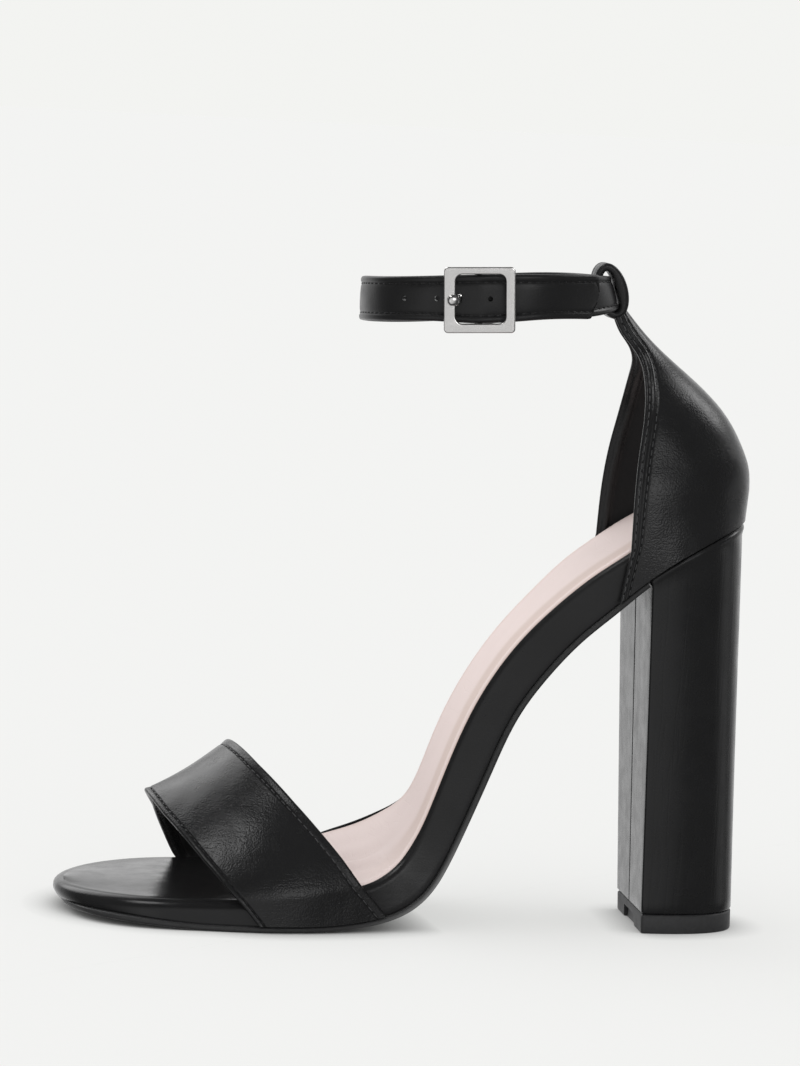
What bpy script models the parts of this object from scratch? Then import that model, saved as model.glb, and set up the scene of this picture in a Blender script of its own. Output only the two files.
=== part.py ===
"""Ankle strap heel: a left sandal on a tall block heel, standing empty on its sole.

Lengths are millimetres until a mesh is made, which is in metres. The toe points to -X
and the heel to +X, the little-toe side is -Y, and the floor is z = 0. Pieces that meet
keep GAP between them.
"""
import math

import bmesh
import bpy
import numpy as np
from mathutils import Vector

MM = 0.001
GAP = 0.3

# Sole layers and leather walls
OUTSOLE_THICK = 1.8
INSOLE_THICK = 1.2
PLATFORM_INSET = 0.8
INSOLE_INSET = 2.2
VAMP_WALL = 1.8
COUNTER_WALL = 2.0
INSOLE_SPLIT_X = -38.0

# Block heel: breast is the flat front face, width and depth taper towards the floor
TOP_PIECE_THICK = 5.7
BREAST_X_FLOOR = 74.0
BREAST_X_SEAT = 70.6
HEEL_BACK_X_FLOOR = 104.0
HEEL_BACK_X_SEAT = 101.3
HEEL_BACK_HOLLOW = 0.5
HEEL_HALF_WIDTH_FLOOR = 20.6
HEEL_HALF_WIDTH_SEAT = 27.3
SEAT_Z = 102.7
HEEL_ROUNDNESS = 2.5
HEEL_FIRST_RUN = 0.12
HEEL_LEVELS = 4

# Strap and the loop that holds it
STRAP_THICK = 1.7
LOOP_CENTRE = (58.0, 186.0)
LOOP_HALF_HEIGHT = 8.4
LOOP_HALF_DEPTH = 4.8
LOOP_LEAN_DEG = 18.0
LOOP_THICK = 1.4
LOOP_WIDTH = 9.0
LOOP_STEPS = 28

# Buckle: a square frame in front of the strap, a centre bar behind it on two lugs, and a
# prong that comes through a hole in the strap and rests on the frame's front bar
BUCKLE_WIDTH = 20.8
BUCKLE_HEIGHT = 18.8
BUCKLE_DEPTH = 2.0
BUCKLE_LIFT = 0.6
BUCKLE_DROP = 0.5
BUCKLE_CORNER = 2.2
BUCKLE_WINDOW_CORNER = 1.3
BUCKLE_LEFT_BAR = 3.5
BUCKLE_RIGHT_BAR = 2.8
BUCKLE_TOP_BAR = 1.9
BUCKLE_BOTTOM_BAR = 2.2
CENTRE_BAR_WIDTH = 2.2
CENTRE_BAR_DEPTH = 1.6
LUG_INNER = 7.35
LUG_OUTER = 8.8
LUG_SETBACK = 0.4
PRONG_WIDTH = 3.0
PRONG_THICK = 1.3
PRONG_TIP_INSET = 1.4
PRONG_BEVEL = 0.6
PRONG_STEM = 1.8
HOLE_LENGTH = 3.2
HOLE_HEIGHT = 4.0
HOLE_OVERLAP = 0.4
HOLE_ALONG = -BUCKLE_WIDTH / 2 + BUCKLE_LEFT_BAR + HOLE_LENGTH / 2 - HOLE_OVERLAP

# One row for each section of the sole, from toe to heel. bottom and top are the tread
# line and the insole's top edge in the middle of the shoe, lateral and medial the
# half-widths, and the turns how far back each edge lies for a millimetre of width
# towards the little toe. A tread height below the floor is cut off at the floor, which
# makes the flat spot.
SOLE_COLUMNS = ("bottom_x", "bottom_z", "top_x", "top_z", "lateral", "medial",
                "lateral_turn", "medial_turn")
SOLE_ROWS = {
    "toe tip": (-95.6, 2.3, -98.6, 7.6, 35.8, 42.0, 0.0, 0.0),
    "toe": (-80.0, 0.9, -80.6, 7.9, 35.8, 42.0, 0.0, 0.0),
    "vamp front": (-58.0, 0.0, -58.0, 8.4, 35.8, 42.0, 0.0, 0.0),
    "ball": (-40.0, -0.6, -40.0, 9.6, 37.0, 42.6, 0.02, 0.04),
    "tread end": (-22.0, -0.1, -23.5, 11.8, 34.6, 42.0, 0.07, 0.16),
    "ball rear": (-7.9, 2.6, -12.9, 14.1, 31.0, 40.5, 0.12, 0.2),
    "bend": (2.2, 6.9, -6.2, 16.9, 29.0, 38.5, 0.11, 0.18),
    "bend rear": (9.5, 12.2, -0.8, 20.9, 27.5, 35.0, 0.08, 0.12),
    "arch foot": (14.6, 19.0, 3.8, 26.3, 26.5, 29.0, 0.04, 0.06),
    "arch low": (19.9, 29.8, 8.3, 34.1, 26.0, 20.8, 0.0, 0.0),
    "arch": (26.6, 47.0, 14.5, 51.5, 25.6, 17.6, 0.0, 0.0),
    "arch high": (34.4, 63.6, 22.6, 70.0, 25.5, 16.6, 0.0, 0.0),
    "shank": (42.7, 75.7, 32.2, 84.6, 25.7, 17.0, 0.0, 0.0),
    "shank rear": (52.0, 86.2, 43.1, 96.4, 26.3, 20.0, 0.0, 0.0),
    "seat front": (60.9, 94.2, 52.6, 104.8, 27.0, 24.8, 0.0, 0.0),
    "breast": (70.6, 102.7, 63.4, 112.6, 27.4, 27.4, 0.0, 0.0),
    "seat": (84.0, 111.2, 79.2, 122.6, 27.4, 27.4, 0.0, 0.0),
    "heel back": (99.9, 118.6, 101.2, 129.2, 27.4, 27.4, 0.0, 0.0),
}
TOE_CAP_ROW = "vamp front"
HEEL_CAP_ROW = "breast"
TOE_ROUNDNESS = 2.0
HEEL_CAP_ROUNDNESS = 2.2
CAP_ANGLES = (15, 30, 44, 57, 68, 77, 83, 87.5)
RIB_STEP = 4.5
RIB_STEP_LEAST = 0.5
SLAB_SIDES = (-1.0, -0.5, 0.0, 0.4, 0.7, 1.0)

# The vamp band's edges where they cross the insole's edge and the middle of the foot
VAMP_COLUMNS = ("lateral_x", "medial_x", "apex_x", "apex_z", "roundness")
VAMP_ROWS = {
    "front edge": (-44.5, -58.2, -70.3, 33.2, 1.6),
    "middle": (-27.2, -42.1, -57.4, 40.4, 1.8),
    "rear edge": (-10.0, -26.0, -45.2, 49.2, 1.97),
}
VAMP_APEX_SHIFT = 2.0
VAMP_ARCH_STEPS = 26
VAMP_LENGTH_STEPS = 8
VAMP_WALL_SHARES = (0.0, 0.35, 0.7)

# The heel cup above the insole, from the insole up to the tab: front edge, back line and
# half-width of each level. The cup's lower part follows the platform's side instead.
COUNTER_COLUMNS = ("front_x", "front_z", "back_x", "back_z", "half_width")
COUNTER_ROWS = {
    "cup": (63.5, 126.5, 102.6, 136.0, 28.0),
    "upper cup": (64.3, 138.0, 99.8, 142.4, 26.0),
    "shoulder": (65.6, 147.3, 95.3, 149.6, 23.5),
    "upper shoulder": (66.8, 155.5, 89.5, 156.2, 20.0),
    "neck": (67.4, 162.0, 82.8, 162.4, 15.4),
    "upper neck": (66.6, 166.6, 76.5, 167.5, 11.0),
    "tab foot": (64.6, 170.3, 71.4, 171.8, 8.2),
    "tab": (62.4, 173.6, 67.4, 175.8, 6.8),
    "tab end": (60.0, 177.5, 63.9, 179.3, 6.0),
}
COUNTER_FRONT_X_BOTTOM = 60.6
COUNTER_FRONT_X_TOP = 63.2
COUNTER_RISE_STEPS = 3
COUNTER_ROUND_STEPS = 32
COUNTER_LEVELS = 22

# The strap's route: from the buckle's bar round the heel, the inner ankle and the front,
# under the buckle and back over itself to the tail. width is across the strap, and lean
# tips its upper edge towards the leg.
STRAP_COLUMNS = ("x", "y", "z", "width", "lean")
STRAP_ROWS = {
    "bar end": (16.9, -27.7, 183.4, 12.4, 0.0),
    "outer ankle": (33.0, -27.1, 184.3, 12.4, 0.0),
    "rear turn": (49.0, -18.3, 184.9, 12.0, 8.0),
    "loop": (57.6, 0.0, 185.4, 10.0, 18.0),
    "inner rear turn": (49.0, 19.0, 184.6, 12.4, 8.0),
    "inner ankle": (30.0, 28.6, 183.0, 13.0, 0.0),
    "inner front": (8.0, 28.0, 180.8, 13.0, 0.0),
    "front turn": (-9.2, 17.0, 180.0, 13.0, 0.0),
    "front": (-14.6, 0.0, 180.7, 13.0, 0.0),
    "outer front turn": (-9.2, -18.4, 181.6, 13.0, 0.0),
    "under buckle": (4.0, -28.3, 182.7, 13.0, 0.0),
    "buckle": (14.6, -30.1, 183.4, 13.0, 0.0),
    "tail": (33.0, -29.6, 184.4, 13.0, 0.0),
    "tail tip": (48.6, -21.6, 184.8, 13.0, 0.0),
}
BUCKLE_ROW = "buckle"
STRAP_STEP = 3.0
TANGENT_STEP = 0.5


def spline(knots, values):
    """Natural cubic through values at knots, as a function of the knot coordinate."""
    knots = np.asarray(knots, float)
    values = np.asarray(values, float)
    step = np.diff(knots)
    slope = np.diff(values) / step
    count = len(knots)
    system = np.eye(count)
    right = np.zeros(count)
    for i in range(1, count - 1):
        system[i, i - 1:i + 2] = step[i - 1], 2 * (step[i - 1] + step[i]), step[i]
        right[i] = 6 * (slope[i] - slope[i - 1])
    bend = np.linalg.solve(system, right)

    def value(at):
        i = min(max(int(np.searchsorted(knots, at)) - 1, 0), count - 2)
        a = at - knots[i]
        lift = slope[i] - step[i] * (2 * bend[i] + bend[i + 1]) / 6
        return values[i] + a * (lift + a * (bend[i] / 2 + a * (bend[i + 1] - bend[i]) / (6 * step[i])))

    return value


class Table:
    """Rows with named columns, read smoothly between rows by the distance along them."""

    def __init__(self, columns, rows, place):
        self.names = list(rows)
        data = np.array([rows[name] for name in self.names], float)
        picks = [columns.index(column) for column in place]
        runs = np.linalg.norm(np.diff(data[:, picks], axis=0), axis=1)
        self.knots = np.concatenate([[0.0], np.cumsum(runs)])
        self.curves = {c: spline(self.knots, data[:, i]) for i, c in enumerate(columns)}

    def knot(self, name):
        return self.knots[self.names.index(name)]

    def __call__(self, column, at):
        return self.curves[column](at)


SOLE = Table(SOLE_COLUMNS, SOLE_ROWS, ("bottom_x", "bottom_z"))
VAMP = Table(VAMP_COLUMNS, VAMP_ROWS, ("apex_x", "apex_z"))
STRAP = Table(STRAP_COLUMNS, STRAP_ROWS, ("x", "y", "z"))
TOE_END = 0.0
TOE_CAP = SOLE.knot(TOE_CAP_ROW)
HEEL_CAP = SOLE.knot(HEEL_CAP_ROW)
HEEL_END = SOLE.knots[-1]


def rib(at):
    """Tread point, unit direction up through the layers, and height of one sole section."""
    bottom = np.array([SOLE("bottom_x", at), max(SOLE("bottom_z", at), 0.0)])
    top = np.array([SOLE("top_x", at), SOLE("top_z", at)])
    height = np.linalg.norm(top - bottom)
    return bottom, (top - bottom) / height, height


def cap_factor(at, inset):
    """How much of the full width is left at a station inside the round toe or heel."""
    if at < TOE_CAP:
        run = (TOE_CAP - at) / (TOE_CAP - TOE_END - inset)
        power = TOE_ROUNDNESS
    else:
        run = max(at - HEEL_CAP, 0.0) / (HEEL_END - inset - HEEL_CAP)
        power = HEEL_CAP_ROUNDNESS
    return max(1 - min(run, 1.0) ** power, 0.0) ** (1 / power)


def sole_point(at, side, level, inset):
    """Point on the sole's side wall: side -1 is lateral, +1 medial, 0 the middle."""
    bottom, up, _ = rib(at)
    edge = "lateral" if side < 0 else "medial"
    y = side * (SOLE(edge, at) - inset) * cap_factor(at, inset)
    x, z = bottom + up * level
    return np.array([x - SOLE(edge + "_turn", at) * y, y, z])


def wall_point(at, side, share, inset):
    """Point beside the platform: share 0 is just above the outsole, 1 the insole's top."""
    low = OUTSOLE_THICK + 2 * GAP
    return sole_point(at, side, low + (rib(at)[2] - low) * share, inset)


def stations(inset, start=None, stop=None):
    """Places of the ribs along the sole, closer together round the toe and the heel."""
    toe = [TOE_CAP - (TOE_CAP - TOE_END - inset) * math.sin(math.radians(a)) for a in CAP_ANGLES]
    heel = [HEEL_CAP + (HEEL_END - inset - HEEL_CAP) * math.sin(math.radians(a)) for a in CAP_ANGLES]
    middle = np.linspace(TOE_CAP, HEEL_CAP, round((HEEL_CAP - TOE_CAP) / RIB_STEP) + 1)
    places = toe[::-1] + list(middle) + heel
    low = places[0] if start is None else start
    high = places[-1] if stop is None else stop
    inside = [p for p in places if low + RIB_STEP_LEAST < p < high - RIB_STEP_LEAST]
    return [low] + inside + [high]


def station_at_x(x, line):
    """Station at which a line along the sole, given as a function of station, passes x."""
    places = np.linspace(TOE_END, HEEL_END, 500)
    return float(np.interp(x, [line(p)[0] for p in places], places))


def tread_line(at):
    return sole_point(at, 0, 0.0, 0.0)


def principled(name, colour, roughness, metallic=0.0):
    finish = bpy.data.materials.new(name)
    finish.use_nodes = True
    shader = finish.node_tree.nodes["Principled BSDF"]
    shader.inputs["Base Color"].default_value = (*colour, 1.0)
    shader.inputs["Roughness"].default_value = roughness
    shader.inputs["Metallic"].default_value = metallic
    return finish


def add_object(name, bm, finish, smooth_deg=35):
    """Turn a bmesh in millimetres into a named object of the shoe."""
    bmesh.ops.scale(bm, vec=(MM, MM, MM), verts=bm.verts)
    mesh = bpy.data.meshes.new(name)
    bm.to_mesh(mesh)
    bm.free()
    mesh.shade_smooth()
    mesh.set_sharp_from_angle(angle=math.radians(smooth_deg))
    mesh.materials.append(finish)
    obj = bpy.data.objects.new(name, mesh)
    bpy.context.scene.collection.objects.link(obj)
    obj.parent = shoe
    return obj


def loft(rings, closed=False):
    """Skin a row of rings with equal counts; the ends are filled unless it is closed."""
    bm = bmesh.new()
    loops = [[bm.verts.new(Vector(p)) for p in ring] for ring in rings]
    count = len(loops[0])
    pairs = list(zip(loops, loops[1:]))
    if closed:
        pairs.append((loops[-1], loops[0]))
    for a, b in pairs:
        for i in range(count):
            j = (i + 1) % count
            bm.faces.new((a[i], a[j], b[j], b[i]))
    if not closed:
        bm.faces.new(loops[0])
        bm.faces.new(loops[-1][::-1])
    bmesh.ops.recalc_face_normals(bm, faces=bm.faces)
    return bm


def shell(name, rows, wall, finish):
    """Leather sheet through rows of points, thickened to the side away from its normals."""
    bm = bmesh.new()
    grid = [[bm.verts.new(Vector(p)) for p in row] for row in rows]
    for a, b in zip(grid, grid[1:]):
        for i in range(len(a) - 1):
            bm.faces.new((a[i], a[i + 1], b[i + 1], b[i]))
    obj = add_object(name, bm, finish)
    leather = obj.modifiers.new("wall", "SOLIDIFY")
    leather.thickness = wall * MM
    leather.offset = -1.0
    leather.use_even_offset = True
    leather.use_quality_normals = True
    return obj


def slab(name, levels, inset, finish, start=None, stop=None):
    """One layer of the sole between two levels, each given as a function of the sole's height."""
    rings = []
    for at in stations(inset, start, stop):
        floor, roof = levels(rib(at)[2])
        under = [sole_point(at, side, floor, inset) for side in SLAB_SIDES]
        over = [sole_point(at, side, roof, inset) for side in SLAB_SIDES]
        rings.append(under + over[::-1])
    return add_object(name, loft(rings), finish)


def build_sole():
    rubber = principled("outsole rubber", (0.018, 0.018, 0.019), 0.55)
    wrap = principled("platform wrap", (0.012, 0.012, 0.013), 0.38)
    toe_sock = principled("toe insole cover", (0.014, 0.014, 0.015), 0.35)
    sock = principled("insole cover", (0.74, 0.64, 0.62), 0.6)

    def outsole_levels(height):
        return 0.0, OUTSOLE_THICK

    def platform_levels(height):
        return OUTSOLE_THICK + GAP, height - INSOLE_THICK - GAP

    def insole_levels(height):
        return height - INSOLE_THICK, height

    end = station_at_x(BREAST_X_SEAT - 2 * GAP, tread_line)
    slab("outsole", outsole_levels, 0.0, rubber, stop=end)
    slab("platform", platform_levels, PLATFORM_INSET, wrap)
    split = station_at_x(INSOLE_SPLIT_X, tread_line)
    slab("toe_insole", insole_levels, INSOLE_INSET, toe_sock, stop=split - GAP)
    slab("insole", insole_levels, INSOLE_INSET, sock, start=split + GAP)


def seat_line(at):
    """Middle of the heel's seat, which lies GAP under the platform."""
    return sole_point(at, 0, OUTSOLE_THICK, 0.0)


def heel_point(run, side, z):
    """Heel side at a height: run 0 is the breast, 1 the back line."""
    up = z / SEAT_Z
    front = BREAST_X_FLOOR + (BREAST_X_SEAT - BREAST_X_FLOOR) * up
    back = HEEL_BACK_X_FLOOR + (HEEL_BACK_X_SEAT - HEEL_BACK_X_FLOOR) * up
    back -= HEEL_BACK_HOLLOW * math.sin(math.pi * min(up, 1.0))
    half = HEEL_HALF_WIDTH_FLOOR + (HEEL_HALF_WIDTH_SEAT - HEEL_HALF_WIDTH_FLOOR) * up
    width = half * (1 - run ** HEEL_ROUNDNESS) ** (1 / HEEL_ROUNDNESS)
    return np.array([front + (back - front) * run, side * width, z])


def heel_top(run, side):
    """Point of the heel's upper edge, where its side meets the curved seat."""
    z = SEAT_Z
    for _ in range(6):
        point = heel_point(run, side, z)
        z = seat_line(station_at_x(point[0], seat_line))[2]
    return point


def build_heel():
    cover = principled("heel cover", (0.013, 0.013, 0.014), 0.33)
    lift = principled("top piece rubber", (0.03, 0.03, 0.031), 0.6)
    runs = [0.0, HEEL_FIRST_RUN] + [math.sin(math.radians(a)) for a in CAP_ANGLES]
    block, piece = [], []
    for run in runs:
        levels = np.linspace(TOP_PIECE_THICK + GAP, heel_top(run, 1)[2], HEEL_LEVELS + 1)
        block.append([heel_point(run, -1, z) for z in levels[::-1]] + [heel_point(run, 1, z) for z in levels])
        corners = ((-1, 0.0), (1, 0.0), (1, TOP_PIECE_THICK), (-1, TOP_PIECE_THICK))
        piece.append([heel_point(run, side, z) for side, z in corners])
    add_object("heel_block", loft(block), cover)
    add_object("heel_top_piece", loft(piece), lift)


def vamp_side(side, x, share):
    """Point at x on the band's outer face where it covers the platform's side."""
    reach = PLATFORM_INSET - GAP - VAMP_WALL
    at = station_at_x(x, lambda p: wall_point(p, side, share, reach))
    return wall_point(at, side, share, reach)


def vamp_wall(side, foot, lean):
    """Band's edge from the outsole up to its foot at the insole, drawn along its lean."""
    points = []
    for share in VAMP_WALL_SHARES:
        drop = vamp_side(side, foot[0], share)[2] - foot[2]
        points.append(vamp_side(side, foot[0] + lean * drop, share))
    return points


def vamp_row(at):
    """One line across the band: up the medial wall, over the arch, down the lateral wall."""
    medial = vamp_side(1, VAMP("medial_x", at), 1.0)
    lateral = vamp_side(-1, VAMP("lateral_x", at), 1.0)
    centre = (medial + lateral) / 2
    half = (medial - lateral) / 2
    apex = np.array([VAMP("apex_x", at), centre[1] + VAMP_APEX_SHIFT, VAMP("apex_z", at)])
    rise = apex - centre
    power = 2 / VAMP("roundness", at)
    arch = []
    for i in range(VAMP_ARCH_STEPS + 1):
        turn = math.pi * i / VAMP_ARCH_STEPS
        across = math.copysign(abs(math.cos(turn)) ** power, math.cos(turn))
        arch.append(centre + half * across + rise * max(math.sin(turn), 0.0) ** power)
    lean = rise[0] / rise[2]
    return vamp_wall(1, medial, lean) + arch + vamp_wall(-1, lateral, lean)[::-1]


def build_vamp():
    leather = principled("vamp leather", (0.012, 0.012, 0.013), 0.36)
    rows = [vamp_row(at) for at in np.linspace(VAMP.knots[0], VAMP.knots[-1], VAMP_LENGTH_STEPS + 1)]
    shell("vamp_band", rows, VAMP_WALL, leather)


def resampled(points, count):
    """Points at even distances along a line."""
    points = np.array(points)
    runs = np.concatenate([[0.0], np.cumsum(np.linalg.norm(np.diff(points, axis=0), axis=1))])
    even = np.linspace(0.0, runs[-1], count)
    return np.column_stack([np.interp(even, runs, points[:, axis]) for axis in range(3)])


def counter_low_ring(share):
    """Heel cup line beside the platform, share 0 at the outsole and 1 at the insole."""
    reach = PLATFORM_INSET - GAP - COUNTER_WALL
    front = COUNTER_FRONT_X_BOTTOM + (COUNTER_FRONT_X_TOP - COUNTER_FRONT_X_BOTTOM) * share
    sides = []
    for side in (-1, 1):
        start = station_at_x(front, lambda p: wall_point(p, side, share, reach))
        places = stations(reach, start, HEEL_END - reach)
        sides.append([wall_point(p, side, share, reach) for p in places])
    return resampled(sides[0] + sides[1][-2::-1], COUNTER_ROUND_STEPS + 1)


def build_counter():
    leather = principled("counter leather", (0.012, 0.012, 0.013), 0.36)
    rings = [counter_low_ring(i / COUNTER_RISE_STEPS) for i in range(COUNTER_RISE_STEPS + 1)]
    base = rings[-1]
    front, back = base[0], base[COUNTER_ROUND_STEPS // 2]
    depth = (base[:, 0] - front[0]) / (back[0] - front[0])
    across = base[:, 1] / abs(base[:, 1]).max()
    seat = (base[:, 2] - front[2]) / (back[2] - front[2])
    foot = {"insole": (front[0], front[2], back[0], back[2], abs(base[:, 1]).max())}
    levels = Table(COUNTER_COLUMNS, {**foot, **COUNTER_ROWS}, ("back_x", "back_z"))
    cup = levels.knot("shoulder")
    for at in np.linspace(0.0, levels.knots[-1], COUNTER_LEVELS + 1)[1:]:
        level = {column: levels(column, at) for column in COUNTER_COLUMNS}
        x = level["front_x"] + (level["back_x"] - level["front_x"]) * depth
        straight = min(at / cup, 1.0)
        climb = seat + (depth - seat) * straight
        z = level["front_z"] + (level["back_z"] - level["front_z"]) * climb
        rings.append(np.column_stack([x, level["half_width"] * across, z]))
    shell("heel_counter", rings, COUNTER_WALL, leather)


def strap_frame(at):
    """Centre, direction, outward normal, upward direction, width of the strap at a place."""
    here = np.array([STRAP(c, at) for c in ("x", "y", "z")])
    ahead = np.array([STRAP(c, at + TANGENT_STEP) - STRAP(c, at - TANGENT_STEP) for c in ("x", "y", "z")])
    along = ahead / np.linalg.norm(ahead)
    outward = np.cross(along, (0.0, 0.0, 1.0))
    outward /= np.linalg.norm(outward)
    lean = math.radians(STRAP("lean", at))
    up = np.cross(outward, along)
    tilted_up = up * math.cos(lean) - outward * math.sin(lean)
    tilted_out = outward * math.cos(lean) + up * math.sin(lean)
    return here, along, tilted_out, tilted_up, STRAP("width", at)


def build_strap():
    leather = principled("strap leather", (0.012, 0.012, 0.013), 0.4)
    steps = round(STRAP.knots[-1] / STRAP_STEP)
    rings = []
    for at in np.linspace(0.0, STRAP.knots[-1], steps + 1):
        here, _, outward, up, width = strap_frame(at)
        thick, wide = outward * STRAP_THICK / 2, up * width / 2
        rings.append([here - thick - wide, here + thick - wide, here + thick + wide, here - thick + wide])
    strap = add_object("ankle_strap", loft(rings), leather)
    middle, along, outward, up = buckle_frame_axes()
    a, o, u = along * HOLE_LENGTH / 2, outward * 2 * STRAP_THICK, up * HOLE_HEIGHT / 2
    ring = ((-1, -1), (1, -1), (1, 1), (-1, 1))
    centre = middle + along * HOLE_ALONG
    hole = loft([[centre + a * i + o * j + u * k for i, j in ring] for k in (-1, 1)])
    combine(strap, add_object("prong_hole_cutter", hole, leather), "DIFFERENCE")


def combine(obj, tool, operation):
    """Cut an object with a hidden tool, or join the tool to it."""
    tool.hide_render = True
    tool.display_type = "WIRE"
    change = obj.modifiers.new(tool.name, "BOOLEAN")
    change.operation = operation
    change.object = tool


def build_loop():
    leather = principled("loop leather", (0.012, 0.012, 0.013), 0.4)
    lean = math.radians(LOOP_LEAN_DEG)
    tall = np.array([-math.sin(lean), 0.0, math.cos(lean)])
    deep = np.array([math.cos(lean), 0.0, math.sin(lean)])
    side = np.array([0.0, LOOP_WIDTH / 2, 0.0])
    centre = np.array([LOOP_CENTRE[0], 0.0, LOOP_CENTRE[1]])
    rings = []
    for i in range(LOOP_STEPS):
        turn = 2 * math.pi * i / LOOP_STEPS
        outer, inner = (centre + tall * (LOOP_HALF_HEIGHT - wall) * math.cos(turn)
                        + deep * (LOOP_HALF_DEPTH - wall) * math.sin(turn) for wall in (0.0, LOOP_THICK))
        rings.append([inner - side, outer - side, outer + side, inner + side])
    add_object("strap_loop", loft(rings, closed=True), leather)


def rounded_rectangle(left, right, low, high, corner, steps=4):
    """Corner arcs of a rectangle, as (along, up) pairs."""
    outline = []
    centres = ((right - corner, high - corner), (left + corner, high - corner),
               (left + corner, low + corner), (right - corner, low + corner))
    for quarter, (x, y) in enumerate(centres):
        for i in range(steps + 1):
            turn = math.pi / 2 * (quarter + i / steps)
            outline.append((x + corner * math.cos(turn), y + corner * math.sin(turn)))
    return outline


def buckle_frame_axes():
    """Middle of the buckle on the strap's centre line, with along, outward and up."""
    here, along, outward, up, _ = strap_frame(STRAP.knot(BUCKLE_ROW))
    return here - up * BUCKLE_DROP, along, outward, up


def build_buckle():
    metal = principled("buckle metal", (0.78, 0.77, 0.75), 0.16, 1.0)
    middle, along, outward, up = buckle_frame_axes()

    def placed(a, z, depth):
        return middle + along * a + up * z + outward * depth

    back = STRAP_THICK / 2 + BUCKLE_LIFT
    front = back + BUCKLE_DEPTH
    half, tall = BUCKLE_WIDTH / 2, BUCKLE_HEIGHT / 2
    outer = rounded_rectangle(-half, half, -tall, tall, BUCKLE_CORNER)
    inner = rounded_rectangle(-half + BUCKLE_LEFT_BAR, half - BUCKLE_RIGHT_BAR,
                              -tall + BUCKLE_BOTTOM_BAR, tall - BUCKLE_TOP_BAR, BUCKLE_WINDOW_CORNER)
    rings = [[placed(*a, back), placed(*a, front), placed(*b, front), placed(*b, back)]
             for a, b in zip(outer, inner)]
    frame = add_object("buckle_frame", loft(rings, closed=True), metal)
    bar_front = -STRAP_THICK / 2 - GAP
    bar_back = bar_front - CENTRE_BAR_DEPTH
    lug_front = front - LUG_SETBACK
    staple = ((-LUG_OUTER, bar_back), (LUG_OUTER, bar_back),
              (LUG_OUTER, lug_front), (LUG_INNER, lug_front),
              (LUG_INNER, bar_front), (-LUG_INNER, bar_front),
              (-LUG_INNER, lug_front), (-LUG_OUTER, lug_front))
    bar = [[placed(side * CENTRE_BAR_WIDTH / 2, z, depth) for z, depth in staple] for side in (-1, 1)]
    combine(frame, add_object("centre_bar_guide", loft(bar), metal), "UNION")

    steel = principled("prong metal", (0.74, 0.73, 0.71), 0.2, 1.0)
    root = -CENTRE_BAR_WIDTH / 2 - GAP
    tip = -half + PRONG_TIP_INSET
    stem_right = HOLE_ALONG + PRONG_STEM / 2
    stem_left = HOLE_ALONG - PRONG_STEM / 2 + HOLE_OVERLAP
    face = front + GAP
    crown = face + PRONG_THICK
    side_view = ((root, bar_front - PRONG_THICK), (root, bar_front), (stem_right, bar_front),
                 (stem_right, crown - PRONG_BEVEL), (stem_right - PRONG_BEVEL, crown),
                 (tip + PRONG_BEVEL, crown), (tip, crown - PRONG_BEVEL), (tip, face),
                 (stem_left, face), (stem_left, bar_front - PRONG_THICK))
    prong = [[placed(a, side * PRONG_WIDTH / 2, depth) for a, depth in side_view] for side in (-1, 1)]
    add_object("buckle_prong", loft(prong), steel)


def centre_on_origin():
    """Slide the whole shoe so that the middle of its box stands over the origin."""
    bpy.context.view_layer.update()
    shapes = [o for o in bpy.data.objects if o.type == "MESH" and not o.hide_render]
    corners = [o.matrix_world @ Vector(c) for o in shapes for c in o.bound_box]
    for axis in (0, 1):
        places = [c[axis] for c in corners]
        shoe.location[axis] = -(min(places) + max(places)) / 2


for old in list(bpy.data.objects):
    bpy.data.objects.remove(old)
shoe = bpy.data.objects.new("shoe", None)
bpy.context.scene.collection.objects.link(shoe)
build_sole()
build_heel()
build_vamp()
build_counter()
build_strap()
build_loop()
build_buckle()
centre_on_origin()
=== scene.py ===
# %% [markdown]
# An ankle strap heel is an open sandal on a tall block heel: a wide leather band holds the
# toes, a closed cup holds the heel and a buckled strap goes round the ankle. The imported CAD
# shoe gives every piece its place. This lesson gives each piece the rolled edges, seams,
# stitches and leather that the plain solids lack. All lengths are in millimetres in the
# maker's frame, with the toe to -X and the floor at 0, until a mesh is made in metres.

import math

import bmesh
import bpy
import numpy as np
from mathutils import Matrix, Vector


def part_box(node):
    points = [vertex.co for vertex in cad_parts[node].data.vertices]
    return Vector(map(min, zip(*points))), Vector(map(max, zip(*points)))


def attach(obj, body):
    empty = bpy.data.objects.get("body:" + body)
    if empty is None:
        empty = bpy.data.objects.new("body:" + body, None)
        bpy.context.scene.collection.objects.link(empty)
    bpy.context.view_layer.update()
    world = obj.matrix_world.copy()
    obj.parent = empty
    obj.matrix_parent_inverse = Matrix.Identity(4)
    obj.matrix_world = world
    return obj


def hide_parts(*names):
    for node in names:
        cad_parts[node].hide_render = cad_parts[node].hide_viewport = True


MM = 0.001
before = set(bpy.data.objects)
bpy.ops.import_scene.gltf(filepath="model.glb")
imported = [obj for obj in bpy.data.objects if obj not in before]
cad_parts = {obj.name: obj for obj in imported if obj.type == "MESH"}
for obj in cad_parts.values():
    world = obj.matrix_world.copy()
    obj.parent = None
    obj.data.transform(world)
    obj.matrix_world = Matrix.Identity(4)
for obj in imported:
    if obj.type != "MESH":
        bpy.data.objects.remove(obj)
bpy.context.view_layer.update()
print("packed pieces:", ", ".join(sorted(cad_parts)))

# %% [markdown]
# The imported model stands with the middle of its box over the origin, while the maker's frame
# is drawn from the heel. The heel's top piece is the same on both sides, so its box tells how
# far the shoe was moved: its front edge is the foot of the breast, the heel's flat front face.

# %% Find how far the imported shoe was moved
TOP_PIECE_THICK = 5.7
BREAST_X_FLOOR = 74.0
BREAST_X_SEAT = 70.6
SEAT_Z = 102.7


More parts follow.
